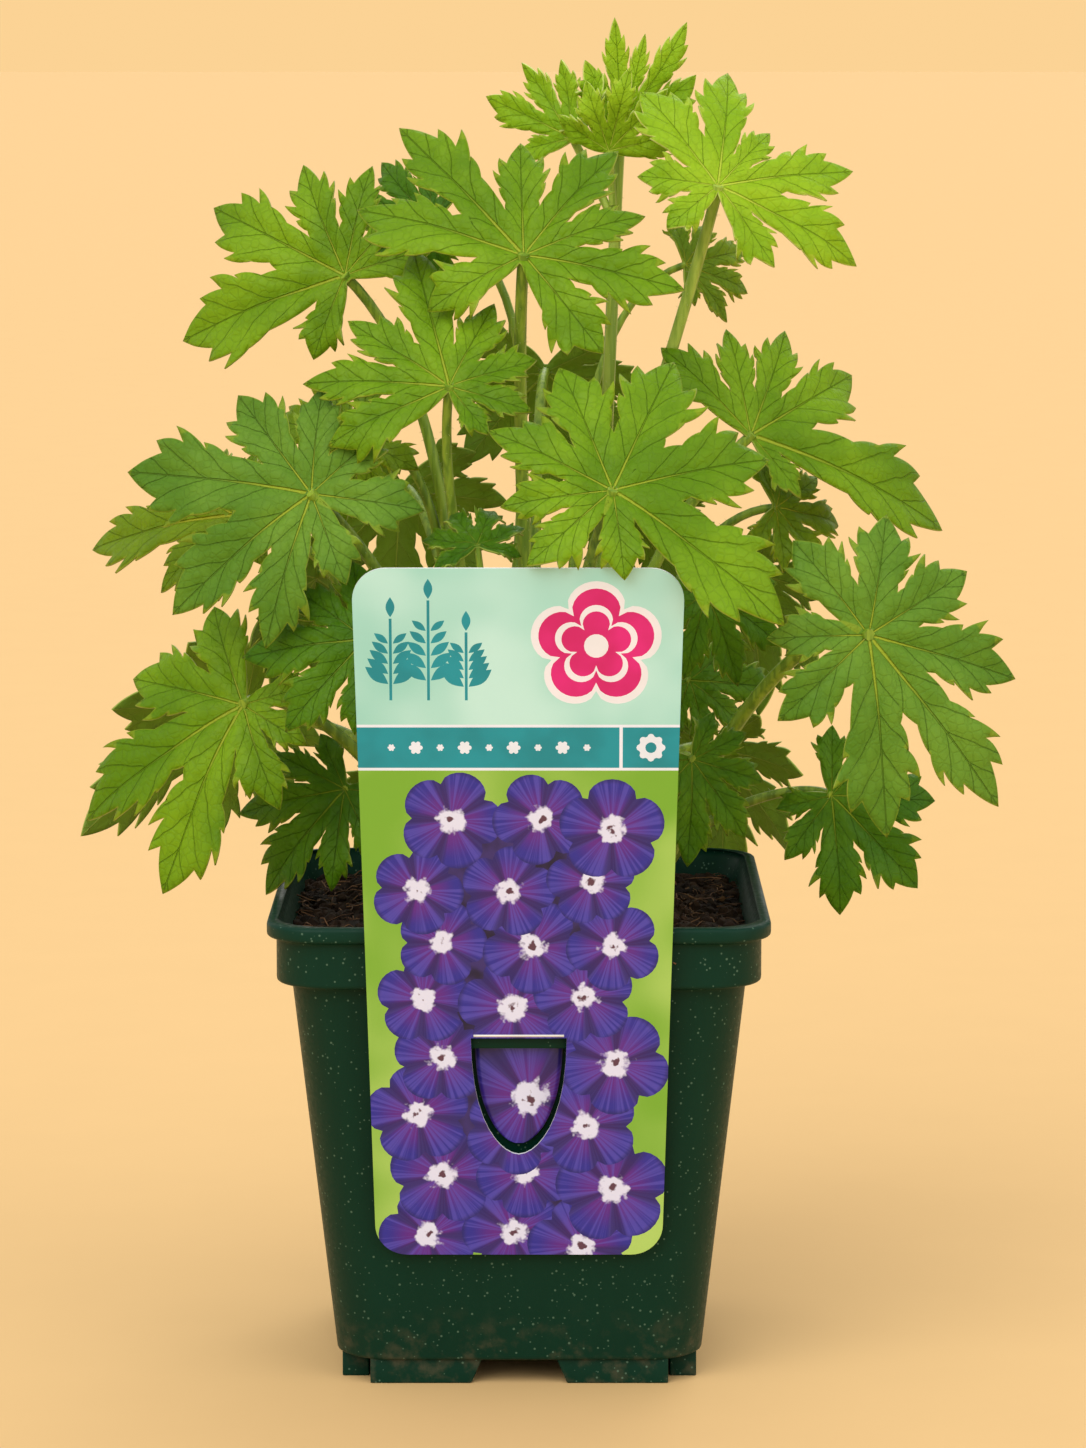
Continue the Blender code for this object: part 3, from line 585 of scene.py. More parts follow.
edges = [(i, (i + 1) % len(rim)) for i in range(len(rim))]
spots, _, triangles, _, _, _ = delaunay_2d_cdt(flat, edges, [], 1, 0.0001)
top_verts = [rim[i] if i < len(rim) else soil_bm.verts.new((*p, soil_level(*p)))
             for i, p in enumerate(spots)]
for triangle in triangles:
    soil_bm.faces.new([top_verts[i] for i in triangle])
bmesh.ops.recalc_face_normals(soil_bm, faces=soil_bm.faces)
soil = make_piece("soil_body", soil_bm, ["soil"], [peat])

tree, given, wanted = new_tree("crumbs", {"Density": 170000.0, "Least": 0.4, "Most": 1.8,
                                          "Rough": 0.5, "Seed": 3})
ball = add(tree, "GeometryNodeMeshIcoSphere", {"Radius": MM, "Subdivisions": 2})
placed = scatter(tree, given, ball.outputs["Mesh"], random_turn(tree, (0, 0, 0), ANY_TURN, 7),
                 given["Least"], given["Most"], 5)
moved = shaken(tree, placed, 700.0, 2.0, (0.5, 0.5, 0.5),
               calc(tree, "MULTIPLY", given["Rough"], 4.0 * MM))
close_tree(tree, moved, peat, wanted, smooth=False)


def soil_sheet():
    """Only the upward faces of the soil, as the ground to scatter on."""
    bm = bmesh.new()
    bm.from_mesh(soil.data)
    side_faces = [face for face in bm.faces if face.normal.z < 0.3]
    bmesh.ops.delete(bm, geom=side_faces, context="FACES")
    return to_mesh(bm, "soil_sheet")


crumbs = make_piece("soil_crumbs", grow(soil_sheet(), tree), [], [peat], smooth=False)
print("soil:", count(soil), "crumbs:", count(crumbs), "triangles")

# %% [markdown]
# The fibres are thin bent rods that lie nearly flat. They are scattered by the same kind
# of tree: a rod on each point, turned at random, made real, then bent by a noise.

# %% Scatter fibres on the soil
def fibre_finish():
    made, tree, shader = new_material("peat_fibre")
    patch = noise(tree, object_spot(tree), 200.0)
    brown = mix(tree, fade(tree, patch, 0.3, 0.7), (0.045, 0.018, 0.007), (0.20, 0.095, 0.036))
    feed(tree, shader, {"Base Color": brown, "Roughness": 0.85})
    return made


fibre = fibre_finish()
tree, given, wanted = new_tree("fibres", {"Density": 45000.0, "Long": 7.0, "Thick": 0.13, "Seed": 8})
rod = add(tree, "GeometryNodeMeshCylinder", {"Vertices": 4, "Side Segments": 5,
          "Radius": calc(tree, "MULTIPLY", given["Thick"], MM),
          "Depth": calc(tree, "MULTIPLY", given["Long"], MM)})
placed = scatter(tree, given, rod.outputs["Mesh"],
                 random_turn(tree, (1.2, -0.4, 0.0), (1.9, 0.4, 6.28), 9), 0.4, 1.3, 10)
moved = shaken(tree, placed, 160.0, 1.0, (0.5, 0.5, 0.35), 6.0 * MM)
close_tree(tree, moved, fibre, wanted)
fibres = make_piece("soil_fibres", grow(soil_sheet(), tree), [], [fibre])
print("fibres:", count(fibres), "triangles")

# %% [markdown]
# The label is one sheet of white plastic, printed on its face, that leans out from the
# pot. Print is flat, so its shapes are drawn as regions of the sheet's own face: every
# outline goes into one triangulation, and each triangle takes the finish of the topmost
# shape over its middle. Edges stay crisp at any distance. The picture is a plain generic
# one: a band, round blossoms on a green ground, three small sprigs and a flower.

# %% Outlines of the label's print
LABEL_TOP_WIDE, LABEL_FOOT_WIDE, LABEL_LONG = 70.0, 63.0, 156.0
LABEL_THICK, LABEL_CORNER = 0.6, 7.0
LABEL_FOOT_Y, LABEL_FOOT_Z, LABEL_LEAN = -45.6, 31.0, 9.2
WINDOW_WIDE, WINDOW_TOP, WINDOW_FOOT = 20.8, 50.6, 23.6
BAND_LOW, BAND_HIGH, BAND_LINE = 111.4, 121.6, 0.6
PETALS = 5


def polar(radius, degrees):
    angle = math.radians(degrees)
    return Vector((radius * math.cos(angle), radius * math.sin(angle)))


def round_end(share):
    """Width share of the window and the tongue, from a straight top (0) to a round foot (1)."""
    return (1 - 0.06 * share) * (1 - share ** 2.6) ** 0.55


def on_label(across, along, out=0.0):
    """A point of the leaning sheet: across it, up it from its foot, and out of its face."""
    lean = math.radians(LABEL_LEAN)
    return Vector((across, LABEL_FOOT_Y - along * math.sin(lean) - out * math.cos(lean),
                   LABEL_FOOT_Z + along * math.cos(lean) - out * math.sin(lean)))


def label_outline(steps=10):
    corners = ((LABEL_FOOT_WIDE / 2, 0, 1), (LABEL_TOP_WIDE / 2, LABEL_LONG, 1),
               (-LABEL_TOP_WIDE / 2, LABEL_LONG, -1), (-LABEL_FOOT_WIDE / 2, 0, -1))
    points = []
    for turn, (x, s, side) in zip((-90, 0, 90, 180), corners):
        middle = Vector((x - side * LABEL_CORNER, s + (LABEL_CORNER if s == 0 else -LABEL_CORNER)))
        points += [middle + polar(LABEL_CORNER, turn + 90 * k / steps) for k in range(steps + 1)]
    return points


def window_outline():
    tall = WINDOW_TOP - WINDOW_FOOT
    edge = [(WINDOW_WIDE / 2 * round_end(share), WINDOW_TOP - share * tall)
            for share in (0.0, 0.2, 0.4, 0.55, 0.68, 0.78, 0.86, 0.92, 0.96, 0.99)]
    edge += [(0.0, WINDOW_FOOT)]
    edge += [(-x, s) for x, s in reversed(edge[:-1])]
    return [Vector(point) for point in edge]


def blossom(middle, radius, turn, petals=PETALS, depth=0.24, steps=10):
    """A flower seen from the front: round petals that overlap at their feet."""
    points = []
    for k in range(petals * steps):
        angle = 360 * k / (petals * steps)
        lobe = abs(math.cos(math.radians(angle * petals / 2)))
        points.append(middle + polar(radius * (1 - depth + depth * lobe ** 0.6), angle + turn))
    return points


def bar_shape(left, right, low, high):
    return [Vector(p) for p in ((left, low), (right, low), (right, high), (left, high))]


def leaflet(foot, length, width, turn, steps=8):
    """A pointed oval, from its foot in the given direction."""
    along, across = polar(1, turn), polar(1, turn + 90)
    right = [foot + along * length * k / steps + across * width * math.sin(math.pi * k / steps)
             for k in range(steps + 1)]
    left = [foot + along * length * k / steps - across * width * math.sin(math.pi * k / steps)
            for k in range(steps - 1, 0, -1)]
    return right + left


def sprig(foot, tall, pairs):
    """A stem with pairs of leaflets, as a row of separate outlines."""
    shapes = [bar_shape(foot.x - 0.3, foot.x + 0.3, foot.y, foot.y + tall)]
    for k in range(pairs):
        level = foot + Vector((0, tall * (0.2 + 0.62 * k / pairs)))
        size = 6.2 * (1 - 0.5 * k / pairs)
        shapes += [leaflet(level + Vector((hand * 0.5, 0)), size, size * 0.2, 90 - hand * 52)
                   for hand in (-1, 1)]
    return shapes + [leaflet(foot + Vector((0, tall + 0.3)), 4.4, 0.95, 90)]


print("label outline points:", len(label_outline()))

# %% [markdown]
# Blossoms overlap in loose rows of three, so later ones cover earlier ones. Each print
# colour is a small material; each blossom has a map of its own with its middle at the
# centre, so that one material can draw pale hearts, veins and dark edges in all of them.

# %% Finishes of the label's print
def print_finish(name, dark, light, scale=90.0):
    """Flat ink with a slight cloud, on glossy plastic film."""
    made, tree, shader = new_material(name)
    spot = object_spot(tree)
    ink = mix(tree, fade(tree, noise(tree, spot, scale, 2.0), 0.35, 0.65), dark, light)
    grain = use_group(tree, grain_group, {"Spot": spot, "Scale": 2600.0})
    ink = mix(tree, calc(tree, "MULTIPLY", grain["Height"], 0.12), ink, dark)
    feed(tree, shader, {"Base Color": ink, "Roughness": 0.32})
    bump(tree, grain["Cloud"], 0.05, shader)
    return made


def blossom_finish():
    made, tree, shader = new_material("print_blossom")
    place = add(tree, "ShaderNodeUVMap", uv_map="bloom").outputs[0]
    local = add(tree, "ShaderNodeVectorMath", {0: place, 1: (2, 2, 0), 2: (-1, -1, 0)},
                operation="MULTIPLY_ADD").outputs[0]
    parts = add(tree, "ShaderNodeSeparateXYZ", {0: local})
    far = add(tree, "ShaderNodeVectorMath", {0: local}, operation="LENGTH").outputs["Value"]
    angle = calc(tree, "ARCTAN2", parts.outputs["Y"], parts.outputs["X"])
    spot = object_spot(tree)
    ragged = calc(tree, "ADD", far, calc(tree, "MULTIPLY", noise(tree, spot, 520.0, 2.0), 0.42))
    ray = add(tree, "ShaderNodeVectorMath", {0: local}, operation="NORMALIZE").outputs[0]
    streaks = add(tree, "ShaderNodeVectorMath", {0: ray, 1: spot}, operation="ADD").outputs[0]
    vein = noise(tree, streaks, 13.0, 2.0)
    seam = calc(tree, "ABSOLUTE", calc(tree, "SINE", calc(tree, "MULTIPLY", angle, PETALS / 2)))
    body = mix(tree, fade(tree, far, 0.30, 0.85), (0.105, 0.013, 0.245), (0.020, 0.020, 0.300))
    body = mix(tree, fade(tree, vein, 0.42, 0.62, 0.0, 0.55), body, (0.095, 0.078, 0.520))
    body = mix(tree, fade(tree, seam, 0.80, 1.0, 0.0, 0.75), body, (0.012, 0.007, 0.100))
    body = mix(tree, fade(tree, far, 0.88, 1.0, 0.0, 0.75), body, (0.010, 0.010, 0.130))
    pale = mix(tree, fade(tree, ragged, 0.40, 0.50, 1.0, 0.0), body, (0.68, 0.72, 0.98))
    heart = mix(tree, fade(tree, ragged, 0.24, 0.29, 1.0, 0.0), pale, (0.10, 0.040, 0.080))
    feed(tree, shader, {"Base Color": heart, "Roughness": 0.32})
    return made


INKS = (("white_film", (0.70, 0.74, 0.80), (0.80, 0.83, 0.90)),
        ("print_mint", (0.30, 0.64, 0.60), (0.50, 0.80, 0.80), 28.0),
        ("print_teal", (0.000, 0.230, 0.300), (0.002, 0.280, 0.370)),
        ("print_white", (0.70, 0.78, 0.94), (0.76, 0.82, 1.0)),
        ("print_green", (0.17, 0.40, 0.035), (0.42, 0.64, 0.16), 26.0),
        ("print_magenta", (0.56, 0.006, 0.150), (0.68, 0.012, 0.220)),
        ("print_cream", (0.74, 0.76, 0.86), (0.80, 0.80, 0.92)),
        ("print_dusk", (0.006, 0.005, 0.040), (0.035, 0.022, 0.170), 160.0))
FILM, MINT, TEAL, WHITE, GROUND, MAGENTA, CREAM, BLOOM, DUSK = range(9)
print_finishes = [print_finish(*ink) for ink in INKS]
print_finishes.insert(BLOOM, blossom_finish())
print("print finishes:", len(print_finishes))

# %% [markdown]
# The drawing is a list of shapes from back to front. A dark column under the blossoms
# fills the gaps between them, and the band covers what reaches over its edge.

# %% Draw the label
SHEET_STEP = 4.0
TO_FILM = -20
COLUMN = (-21.0, 17.0, 0.6, 98.0)
BLOOM_PLACES, BLOOM_ROWS, BLOOM_RISE, BLOOM_SHIFT = (-20.5, -2.5, 14.5), 8, 13.5, 5.5
BLOOM_LOWEST, BLOOM_SHRINK = 4.0, 0.12
DIVIDER = (21.5, 22.2)
DOTS, FIRST_DOT, DOT_STEP = 9, -27.0, 5.2
BADGE = Vector((28.2, 116.5))
SPRIGS, SPRIG_FOOT = ((-27.0, 18.0), (-19.0, 22.0), (-11.0, 15.0)), 127.0
FLOWER = Vector((16.5, 139.0))
FLOWER_RINGS = ((14.2, 0.30, CREAM), (12.6, 0.36, MAGENTA), (9.0, 0.40, CREAM),
                (7.6, 0.44, MAGENTA))


def draw_label():
    """Shapes from back to front: outline and ink, for a blossom also middle, radius, turn."""
    half, band_middle = LABEL_TOP_WIDE / 2, (BAND_LOW + BAND_HIGH) / 2
    shapes = [(bar_shape(-half, half, 0, BAND_LOW), GROUND),
              (bar_shape(-half, half, BAND_HIGH, LABEL_LONG), MINT),
              (bar_shape(*COLUMN), DUSK)]
    rng = random.Random(21)
    for row in range(BLOOM_ROWS):
        level = BLOOM_LOWEST + BLOOM_RISE * row
        for place in BLOOM_PLACES:
            x = place + BLOOM_SHIFT * (row % 2)
            size = rng.uniform(10.6, 13.2) * (1 - BLOOM_SHRINK * level / BAND_LOW)
            middle = Vector((x + rng.uniform(-1.8, 1.8), level + rng.uniform(-2.2, 2.2)))
            turn = rng.uniform(0, 360 / PETALS)
            shapes.append((blossom(middle, size, turn), BLOOM, middle, size, turn))
    shapes += [(bar_shape(-half, half, BAND_LOW, BAND_HIGH), WHITE),
               (bar_shape(-half, half, BAND_LOW + BAND_LINE, BAND_HIGH - BAND_LINE), TEAL),
               (bar_shape(*DIVIDER, BAND_LOW, BAND_HIGH), WHITE)]
    for k in range(DOTS):
        middle = Vector((FIRST_DOT + DOT_STEP * k, band_middle))
        shapes.append((blossom(middle, 1.5 if k % 2 else 0.8, 0, 6, 0.3, 4), WHITE))
    shapes.append((blossom(BADGE, 3.1, 0, 8, 0.35, 5), WHITE))
    shapes.append((blossom(BADGE, 1.2, 0, 1, 0.0, 14), TEAL))
    for x, tall in SPRIGS:
        shapes += [(leaf, TEAL) for leaf in sprig(Vector((x, SPRIG_FOOT)), tall, 5)]
    shapes += [(blossom(FLOWER, size, 18, 5, depth, 14), ink) for size, depth, ink in FLOWER_RINGS]
    shapes.append((blossom(FLOWER, 2.6, 0, 1, 0.0, 18), CREAM))
    return shapes


def within(outline, x, y):
    """Whether each point lies inside a closed outline, by counting crossings."""
    ends = np.array([tuple(p) for p in outline])
    ax, ay = ends[:, 0], ends[:, 1]
    bx, by = np.roll(ax, -1), np.roll(ay, -1)
    crossing = (ay[None, :] > y[:, None]) != (by[None, :] > y[:, None])
    slope = (bx - ax) / np.where(by == ay, 1e-9, by - ay)
    beyond = x[:, None] < ax[None, :] + slope[None, :] * (y[:, None] - ay[None, :])
    return (crossing & beyond).sum(axis=1) % 2 == 1


def bloom_place(arm, radius, turn):
    """Where a point lies in its flower, turned back so that petals line up, from 0 to 1."""
    return (Matrix.Rotation(math.radians(-turn), 2) @ arm / radius + Vector((1, 1))) / 2


def flat_regions(outline, holes, shapes, step):
    """Triangulate a sheet so that no triangle crosses a shape, and give each its shape."""
    flat, edges = [], []
    for loop in [outline] + holes + [shape[0] for shape in shapes]:
        first = len(flat)
        flat += loop
        edges += [(first + i, first + (i + 1) % len(loop)) for i in range(len(loop))]
    low_y, high_y = min(p.y for p in outline), max(p.y for p in outline)
    low_x, high_x = min(p.x for p in outline), max(p.x for p in outline)
    xs, ys = np.meshgrid(np.arange(low_x, high_x, step), np.arange(low_y, high_y, step))
    flat += [Vector(p) for p in zip(xs.ravel().tolist(), ys.ravel().tolist())]
    spots, _, triangles, _, _, _ = delaunay_2d_cdt(flat, edges, [], 0, 0.0001)
    places = np.array([tuple(p) for p in spots])
    corners = np.array([tuple(t) for t in triangles if len(t) == 3])
    middles = places[corners].mean(axis=1)
    kept = within(outline, middles[:, 0], middles[:, 1])
    for hole in holes:
        kept &= ~within(hole, middles[:, 0], middles[:, 1])
    corners, middles = corners[kept], middles[kept]
    owner = np.full(len(corners), -1)
    for i, shape in enumerate(shapes):
        owner[within(shape[0], middles[:, 0], middles[:, 1])] = i
    return places, corners, owner


def make_sheet(outline, holes, shapes, to_space):
    """The printed face of a sheet as a bmesh, with an ink for each region."""
    places, corners, owner = flat_regions(outline, holes, shapes, SHEET_STEP)
    bm = bmesh.new()
    bloom = bm.loops.layers.uv.new("bloom")
    verts = {}
    for spots, i in zip(corners, owner):
        for spot in spots:
            if spot not in verts:
                verts[spot] = bm.verts.new(to_space(*places[spot]))
        face = bm.faces.new([verts[spot] for spot in spots])
        face.material_index = shapes[i][1] if i >= 0 else FILM
        if face.material_index == BLOOM:
            for loop, spot in zip(face.loops, spots):
                arm = Vector(places[spot].tolist()) - shapes[i][2]
                loop[bloom].uv = bloom_place(arm, *shapes[i][3:])
    return bm


def thicken(piece, thick, back=TO_FILM, rim=TO_FILM, offset=-1.0):
    """Make a sheet thick; back and rim say how far on from the face's finish theirs are."""
    skin = piece.modifiers.new("thickness", "SOLIDIFY")
    skin.thickness = thick * MM
    skin.offset = offset
    skin.use_rim = True
    skin.material_offset = back
    skin.material_offset_rim = rim
    apply_modifiers(piece)


shapes = draw_label()
sheet_bm = make_sheet(label_outline(), [window_outline()], shapes,
                      lambda x, y: on_label(x, y, LABEL_THICK))
label = make_piece("label_sheet", sheet_bm, ["label"], print_finishes, smooth=False)
thicken(label, LABEL_THICK)
print("label:", len(shapes), "shapes,", count(label), "triangles")

# %% [markdown]
# The tongue is what the cut window leaves of the sheet. It starts at the window's top,
# passes behind the bar on the pot and hangs along the wall, so the picture goes on over
# it. Its outline follows the window's curve, and its path follows the pot's wall.

# %% Make the label's tongue
TONGUE_FOOT, TONGUE_OFF, TONGUE_BEND, TONGUE_HANG = 56.0, 0.8, 82.0, 80.0
TONGUE_DOWN, TONGUE_ACROSS = 20, 16
TONGUE_BLOOM, TONGUE_BLOOM_SIZE, TONGUE_BLOOM_TURN = Vector((2.2, 66.5)), 15.0, 20


def tongue_path():
    """Points (depth, level) and half widths from the sheet down to the tongue's tip."""
    hang, half = TONGUE_OFF + 0.1 - BAR_BACK, TONGUE_WIDE / 2
    root = on_label(0, WINDOW_TOP + 0.2, LABEL_THICK / 2)
    path = [(root.yz, half), (Vector((hang - 1.2, TONGUE_BEND)), half),
            (Vector((hang - 0.2, TONGUE_BEND - 0.5)), half), (Vector((hang, TONGUE_HANG + 0.4)), half)]
    for step in range(1, TONGUE_DOWN + 1):
        share = math.sin(math.pi / 2 * step / TONGUE_DOWN) ** 0.9 * 0.995
        level = TONGUE_HANG + (TONGUE_FOOT - TONGUE_HANG) * share
        path.append((Vector((-wall_half(level) - TONGUE_OFF, level)), (half - 0.2) * round_end(share)))
    return path


def make_tongue():
    bm = bmesh.new()
    bloom = bm.loops.layers.uv.new("bloom")
    rows = []
    for (depth, level), half in tongue_path():
        rows.append([bm.verts.new((half * (2 * k / TONGUE_ACROSS - 1), depth - LABEL_THICK / 2, level))
                     for k in range(TONGUE_ACROSS + 1)])
    for high, low in zip(rows, rows[1:]):
        for k in range(TONGUE_ACROSS):
            face = bm.faces.new((low[k], low[k + 1], high[k + 1], high[k]))
            face.material_index = BLOOM
            for loop in face.loops:
                arm = loop.vert.co.xz - TONGUE_BLOOM
                loop[bloom].uv = bloom_place(arm, TONGUE_BLOOM_SIZE, TONGUE_BLOOM_TURN)
    return bm


tongue = make_piece("label_tongue", make_tongue(), ["label"], print_finishes)
thicken(tongue, LABEL_THICK, back=0)
print("tongue:", count(tongue), "triangles")

# %% [markdown]
# A delphinium leaf is cut like a hand: five to eight wedge-shaped lobes spread from the
# stalk, and each lobe ends in three pointed parts with small teeth. The table gives, for
# each leaf, its hub, the way its face looks, the turn of its middle lobe, its droop, its
# stalk radius, the foot of its stalk, the stalk's bow, and the angle and length of each
# lobe. It repeats the CAD model's own list, so that each fine leaf fills its solid.

# %% Table of leaves
def even_fan(*lengths):
    """Seven lobes at even turns, given their lengths from the outermost to the middle one."""
    return tuple(zip(range(-126, 127, 42), lengths + lengths[-2::-1]))


LEAVES = {
    "mid_high": ((1, -30, 249), (-8, 30), 180, 0.30, 1.75, (3, -7), (0, 0), (
        (-140, 29), (-100, 36), (-66, 28), (-33, 34), (6, 29), (42, 47), (70, 42), (121, 24))),
    "left_high": ((-39, 0, 243), (-18, 15), -110, 0.35, 1.5, (-12, -1), (0, 0), (
        (-140, 21), (-108, 22), (-77, 26), (-42, 30), (-5, 40), (38, 45), (91, 20))),
    "mid_left": ((-15, -38, 221), (-5, 32), 170, 0.25, 1.4, (-4, -14), (0, 0), (
        (-132, 15), (-97, 19), (-58, 20), (-12, 23), (26, 38), (64, 29), (95, 33), (126, 29))),
    "left": ((-45, -40, 198), (-12, 22), -90, 0.35, 1.6, (-11, -11), (0, 0), (
        (-186, 25), (-135, 22), (-90, 25), (-50, 31), (-8, 45), (40, 41), (76, 35), (115, 22))),
    "left_low": ((-61, -26, 150), (-22, 22), -30, 0.45, 1.6, (-20, -8), (0, 0), (
        (-122, 26), (-71, 32), (-27, 49), (9, 46), (56, 25), (94, 18), (140, 16))),
    "inner_left": ((-33, -46, 167), (-10, 22), -40, 0.40, 1.3, (-14, -19), (0, 0), (
        (-125, 19), (-84, 21), (-43, 29), (-1, 27), (36, 21), (78, 22), (122, 15))),
    "low_left": ((-39, -12, 129), (-12, 22), -20, 0.50, 1.2, (-24, -17), (0, 0), (
        (-131, 15), (-96, 20), (-59, 27), (-20, 31), (14, 23), (48, 18), (106, 15))),
    "front": ((20, -66, 201), (5, 30), 10, 0.35, 1.7, (6, -17), (0, 0), (
        (-5, 20), (43, 46), (95, 36), (145, 37), (187, 33), (229, 30), (266, 24), (301, 25))),
    "right": ((52, -5, 208), (30, 25), 80, 0.40, 1.6, (14, 3), (0, 0), (
        (-48, 18), (-12, 58), (34, 38), (66, 31), (98, 26), (136, 28))),
    "right_low": ((75, -56, 169), (12, 12), 35, 0.35, 1.8, (29, -12), (12, 10), (
        (-125, 22), (-84, 27), (-30, 44), (3, 48), (39, 36), (85, 27), (132, 27), (181, 26))),
    "low_right": ((70, -8, 127), (10, 12), 30, 0.30, 1.3, (31, -3), (0, 0), (
        (-108, 13), (-68, 18), (-26, 27), (14, 30), (56, 25), (106, 17), (146, 16))),
    "right_high": ((44, -6, 263), (15, 28), 180, 0.40, 1.7, (12, -5), (0, 0), (
        (-149, 22), (-116, 37), (-80, 35), (-46, 21), (-15, 33), (26, 30), (79, 18), (127, 16))),
    "small_right": ((38, 32, 244), (30, 20), 60, 0.40, 1.1, (8, 7), (6, 0), (
        (-56, 10), (-22, 17), (12, 20), (42, 21), (76, 14), (120, 12))),
    "far_left": ((-64, -4, 190), (-30, 25), -60, 0.45, 1.3, (-20, 2), (0, 0), (
        (-124, 16), (-86, 20), (-52, 32), (-21, 46), (18, 25), (60, 20), (105, 16))),
    "back_right": ((58, 12, 190), (35, 20), 60, 0.40, 1.3, (20, 4), (0, 0), (
        (-100, 12), (-60, 15), (-20, 18), (20, 23), (54, 17), (90, 15), (126, 14))),
    "beside_label": ((41, -26, 175), (15, 15), 30, 0.50, 1.2, (20, -15), (0, 0), (
        (-125, 14), (-84, 17), (-46, 20), (-9, 23), (27, 23), (66, 18), (106, 14))),
    "beside_mid": ((38, -8, 153), (25, 12), 50, 0.40, 1.1, (21, -6), (0, 0), (
        (-116, 12), (-74, 14), (-34, 17), (2, 18), (34, 25), (72, 17), (112, 12))),
    "beside_low": ((38, -34, 139), (12, 12), 25, 0.40, 1.2, (24, -21), (0, 0), (
        (-112, 13), (-70, 19), (-28, 24), (10, 22), (47, 18), (88, 14), (126, 12))),
    "tiny_front": ((-9, -42, 187), (-5, 45), -170, 0.40, 1.0, (-3, -20), (0, 0), (
        (-110, 10), (-66, 12), (-22, 13), (22, 13), (66, 13), (110, 11))),
    "behind_high": ((-20, 16, 254), (-25, 20), -90, 0.35, 1.2, (-6, 6), (0, 0), (
        (-112, 14), (-76, 17), (-42, 24), (-12, 28), (26, 20), (66, 17), (110, 14))),
    "behind_left": ((-36, -4, 207), (-15, 20), -60, 0.40, 1.3, (-13, 5), (0, 0), (
        (-125, 16), (-84, 20), (-42, 24), (0, 26), (42, 24), (84, 20), (125, 16))),
    "rear_low_left": ((-66, 64, 136), (-160, 20), 60, 0.40, 1.6, (-15, 12), (0, 0), (
        (-126, 22), (-84, 28), (-42, 36), (-2, 49), (40, 36), (82, 28), (124, 22))),
    "rear_left": ((-28, 58, 190), (-165, 28), 0, 0.40, 1.5, (-8, 14), (0, 0), even_fan(20, 26, 32, 35)),
    "rear_high": ((6, 52, 218), (175, 35), 0, 0.40, 1.5, (3, 10), (0, 0), even_fan(20, 25, 31, 34)),
    "rear_right": ((52, 48, 172), (140, 25), 0, 0.45, 1.5, (19, 13), (0, 0), even_fan(20, 26, 32, 36)),
    "rear_mid": ((6, 64, 156), (180, 22), 0, 0.45, 1.4, (2, 20), (0, 0), even_fan(20, 26, 31, 34)),
    "rear_low_right": ((46, 60, 128), (150, 22), 0, 0.50, 1.4, (13, 22), (0, 0),
                       even_fan(20, 26, 31, 34)),
    "rear_low": ((-22, 62, 122), (-170, 22), 0, 0.50, 1.3, (-8, 23), (0, 0), even_fan(18, 24, 28, 31)),
    "rear_inner": ((26, 42, 188), (165, 28), -20, 0.40, 1.3, (8, 17), (0, 0), even_fan(16, 21, 26, 28)),
    "rear_side": ((-48, 34, 172), (-125, 25), 20, 0.45, 1.3, (-21, 8), (0, 0), even_fan(18, 24, 28, 30)),
}
GREYER = ("left", "right_low")
# These leaves get the dark tone, a darker copy of the leaf greens: painted shade for leaves that lie
# among and under the others.
SHADE_PAINTED_LEAVES = ("inner_left", "beside_label", "beside_mid", "beside_low", "behind_high", "low_right",
          "tiny_front", "low_left")
WARMER = ("far_left", "back_right", "behind_left", "small_right")
YOUNG = ("right_high",)
print("leaves:", len(LEAVES))

# %% [markdown]
# Half of a lobe is a short list of places along the midrib and beside it, both as shares
# of the lobe's length, with a bulge for the curve that leads to each place. The same list
# serves both halves of all lobes: wider where there is room, and shaken a little by a
# seeded random so that no two lobes match.

# %% Outline of a blade
SINUS, NOTCH, NOTCH_TURN = 0.41, 0.10, 42.0
SLIM_FROM, SLIM_POWER = 32.0, 0.4
LOBE_GAP, FREE_TURN = 0.6, 24.0
NARROWEST, WIDEST = 0.4, 1.2
EDGE_STEP = 1.0
# places from sinus to tip: along, beside, bulge of the curve leading there
LOBE_EDGE = ((0.46, 0.152, 0.04), (0.590, 0.215, 0.07), (0.578, 0.184, 0.0),
             (0.740, 0.272, 0.08), (0.684, 0.186, -0.02), (0.850, 0.192, 0.08),
             (0.806, 0.128, 0.0), (1.0, 0.0, 0.05))
EDGE_WIDEST = 0.272 / 0.735


def curve_between(start, end, bulge):
    """Points after start up to end, bowed to the right of the way by a share of its length."""
    arm = end - start
    side = Vector((arm.y, -arm.x)) * bulge
    count = max(1, round(arm.length / EDGE_STEP))
    return [start + arm * (k / count) + side * 4 * (k / count) * (1 - k / count)
            for k in range(1, count + 1)]


def lobe_spread(lobes, i):
    """How much wider or narrower each half of a lobe is than the list says."""
    angle, length = lobes[i]
    slim = min(1.0, (SLIM_FROM / length) ** SLIM_POWER)
    spread = []
    for step in (-1, 1):
        room = FREE_TURN
        if 0 <= i + step < len(lobes):
            room = abs(lobes[i + step][0] - angle) / 2 - LOBE_GAP
        fits = math.tan(math.radians(room)) / EDGE_WIDEST
        spread.append(slim * min(WIDEST, max(NARROWEST, fits)))
    return spread


def shaken_edge(rng):
    """The list without its tip, each place moved a little, so that teeth differ."""
    shift = rng.uniform(-0.03, 0.02)
    return [(far + shift + rng.uniform(-0.012, 0.012), wide * rng.uniform(0.88, 1.0),
             bulge * rng.uniform(0.5, 1.3)) for far, wide, bulge in LOBE_EDGE[:-1]]


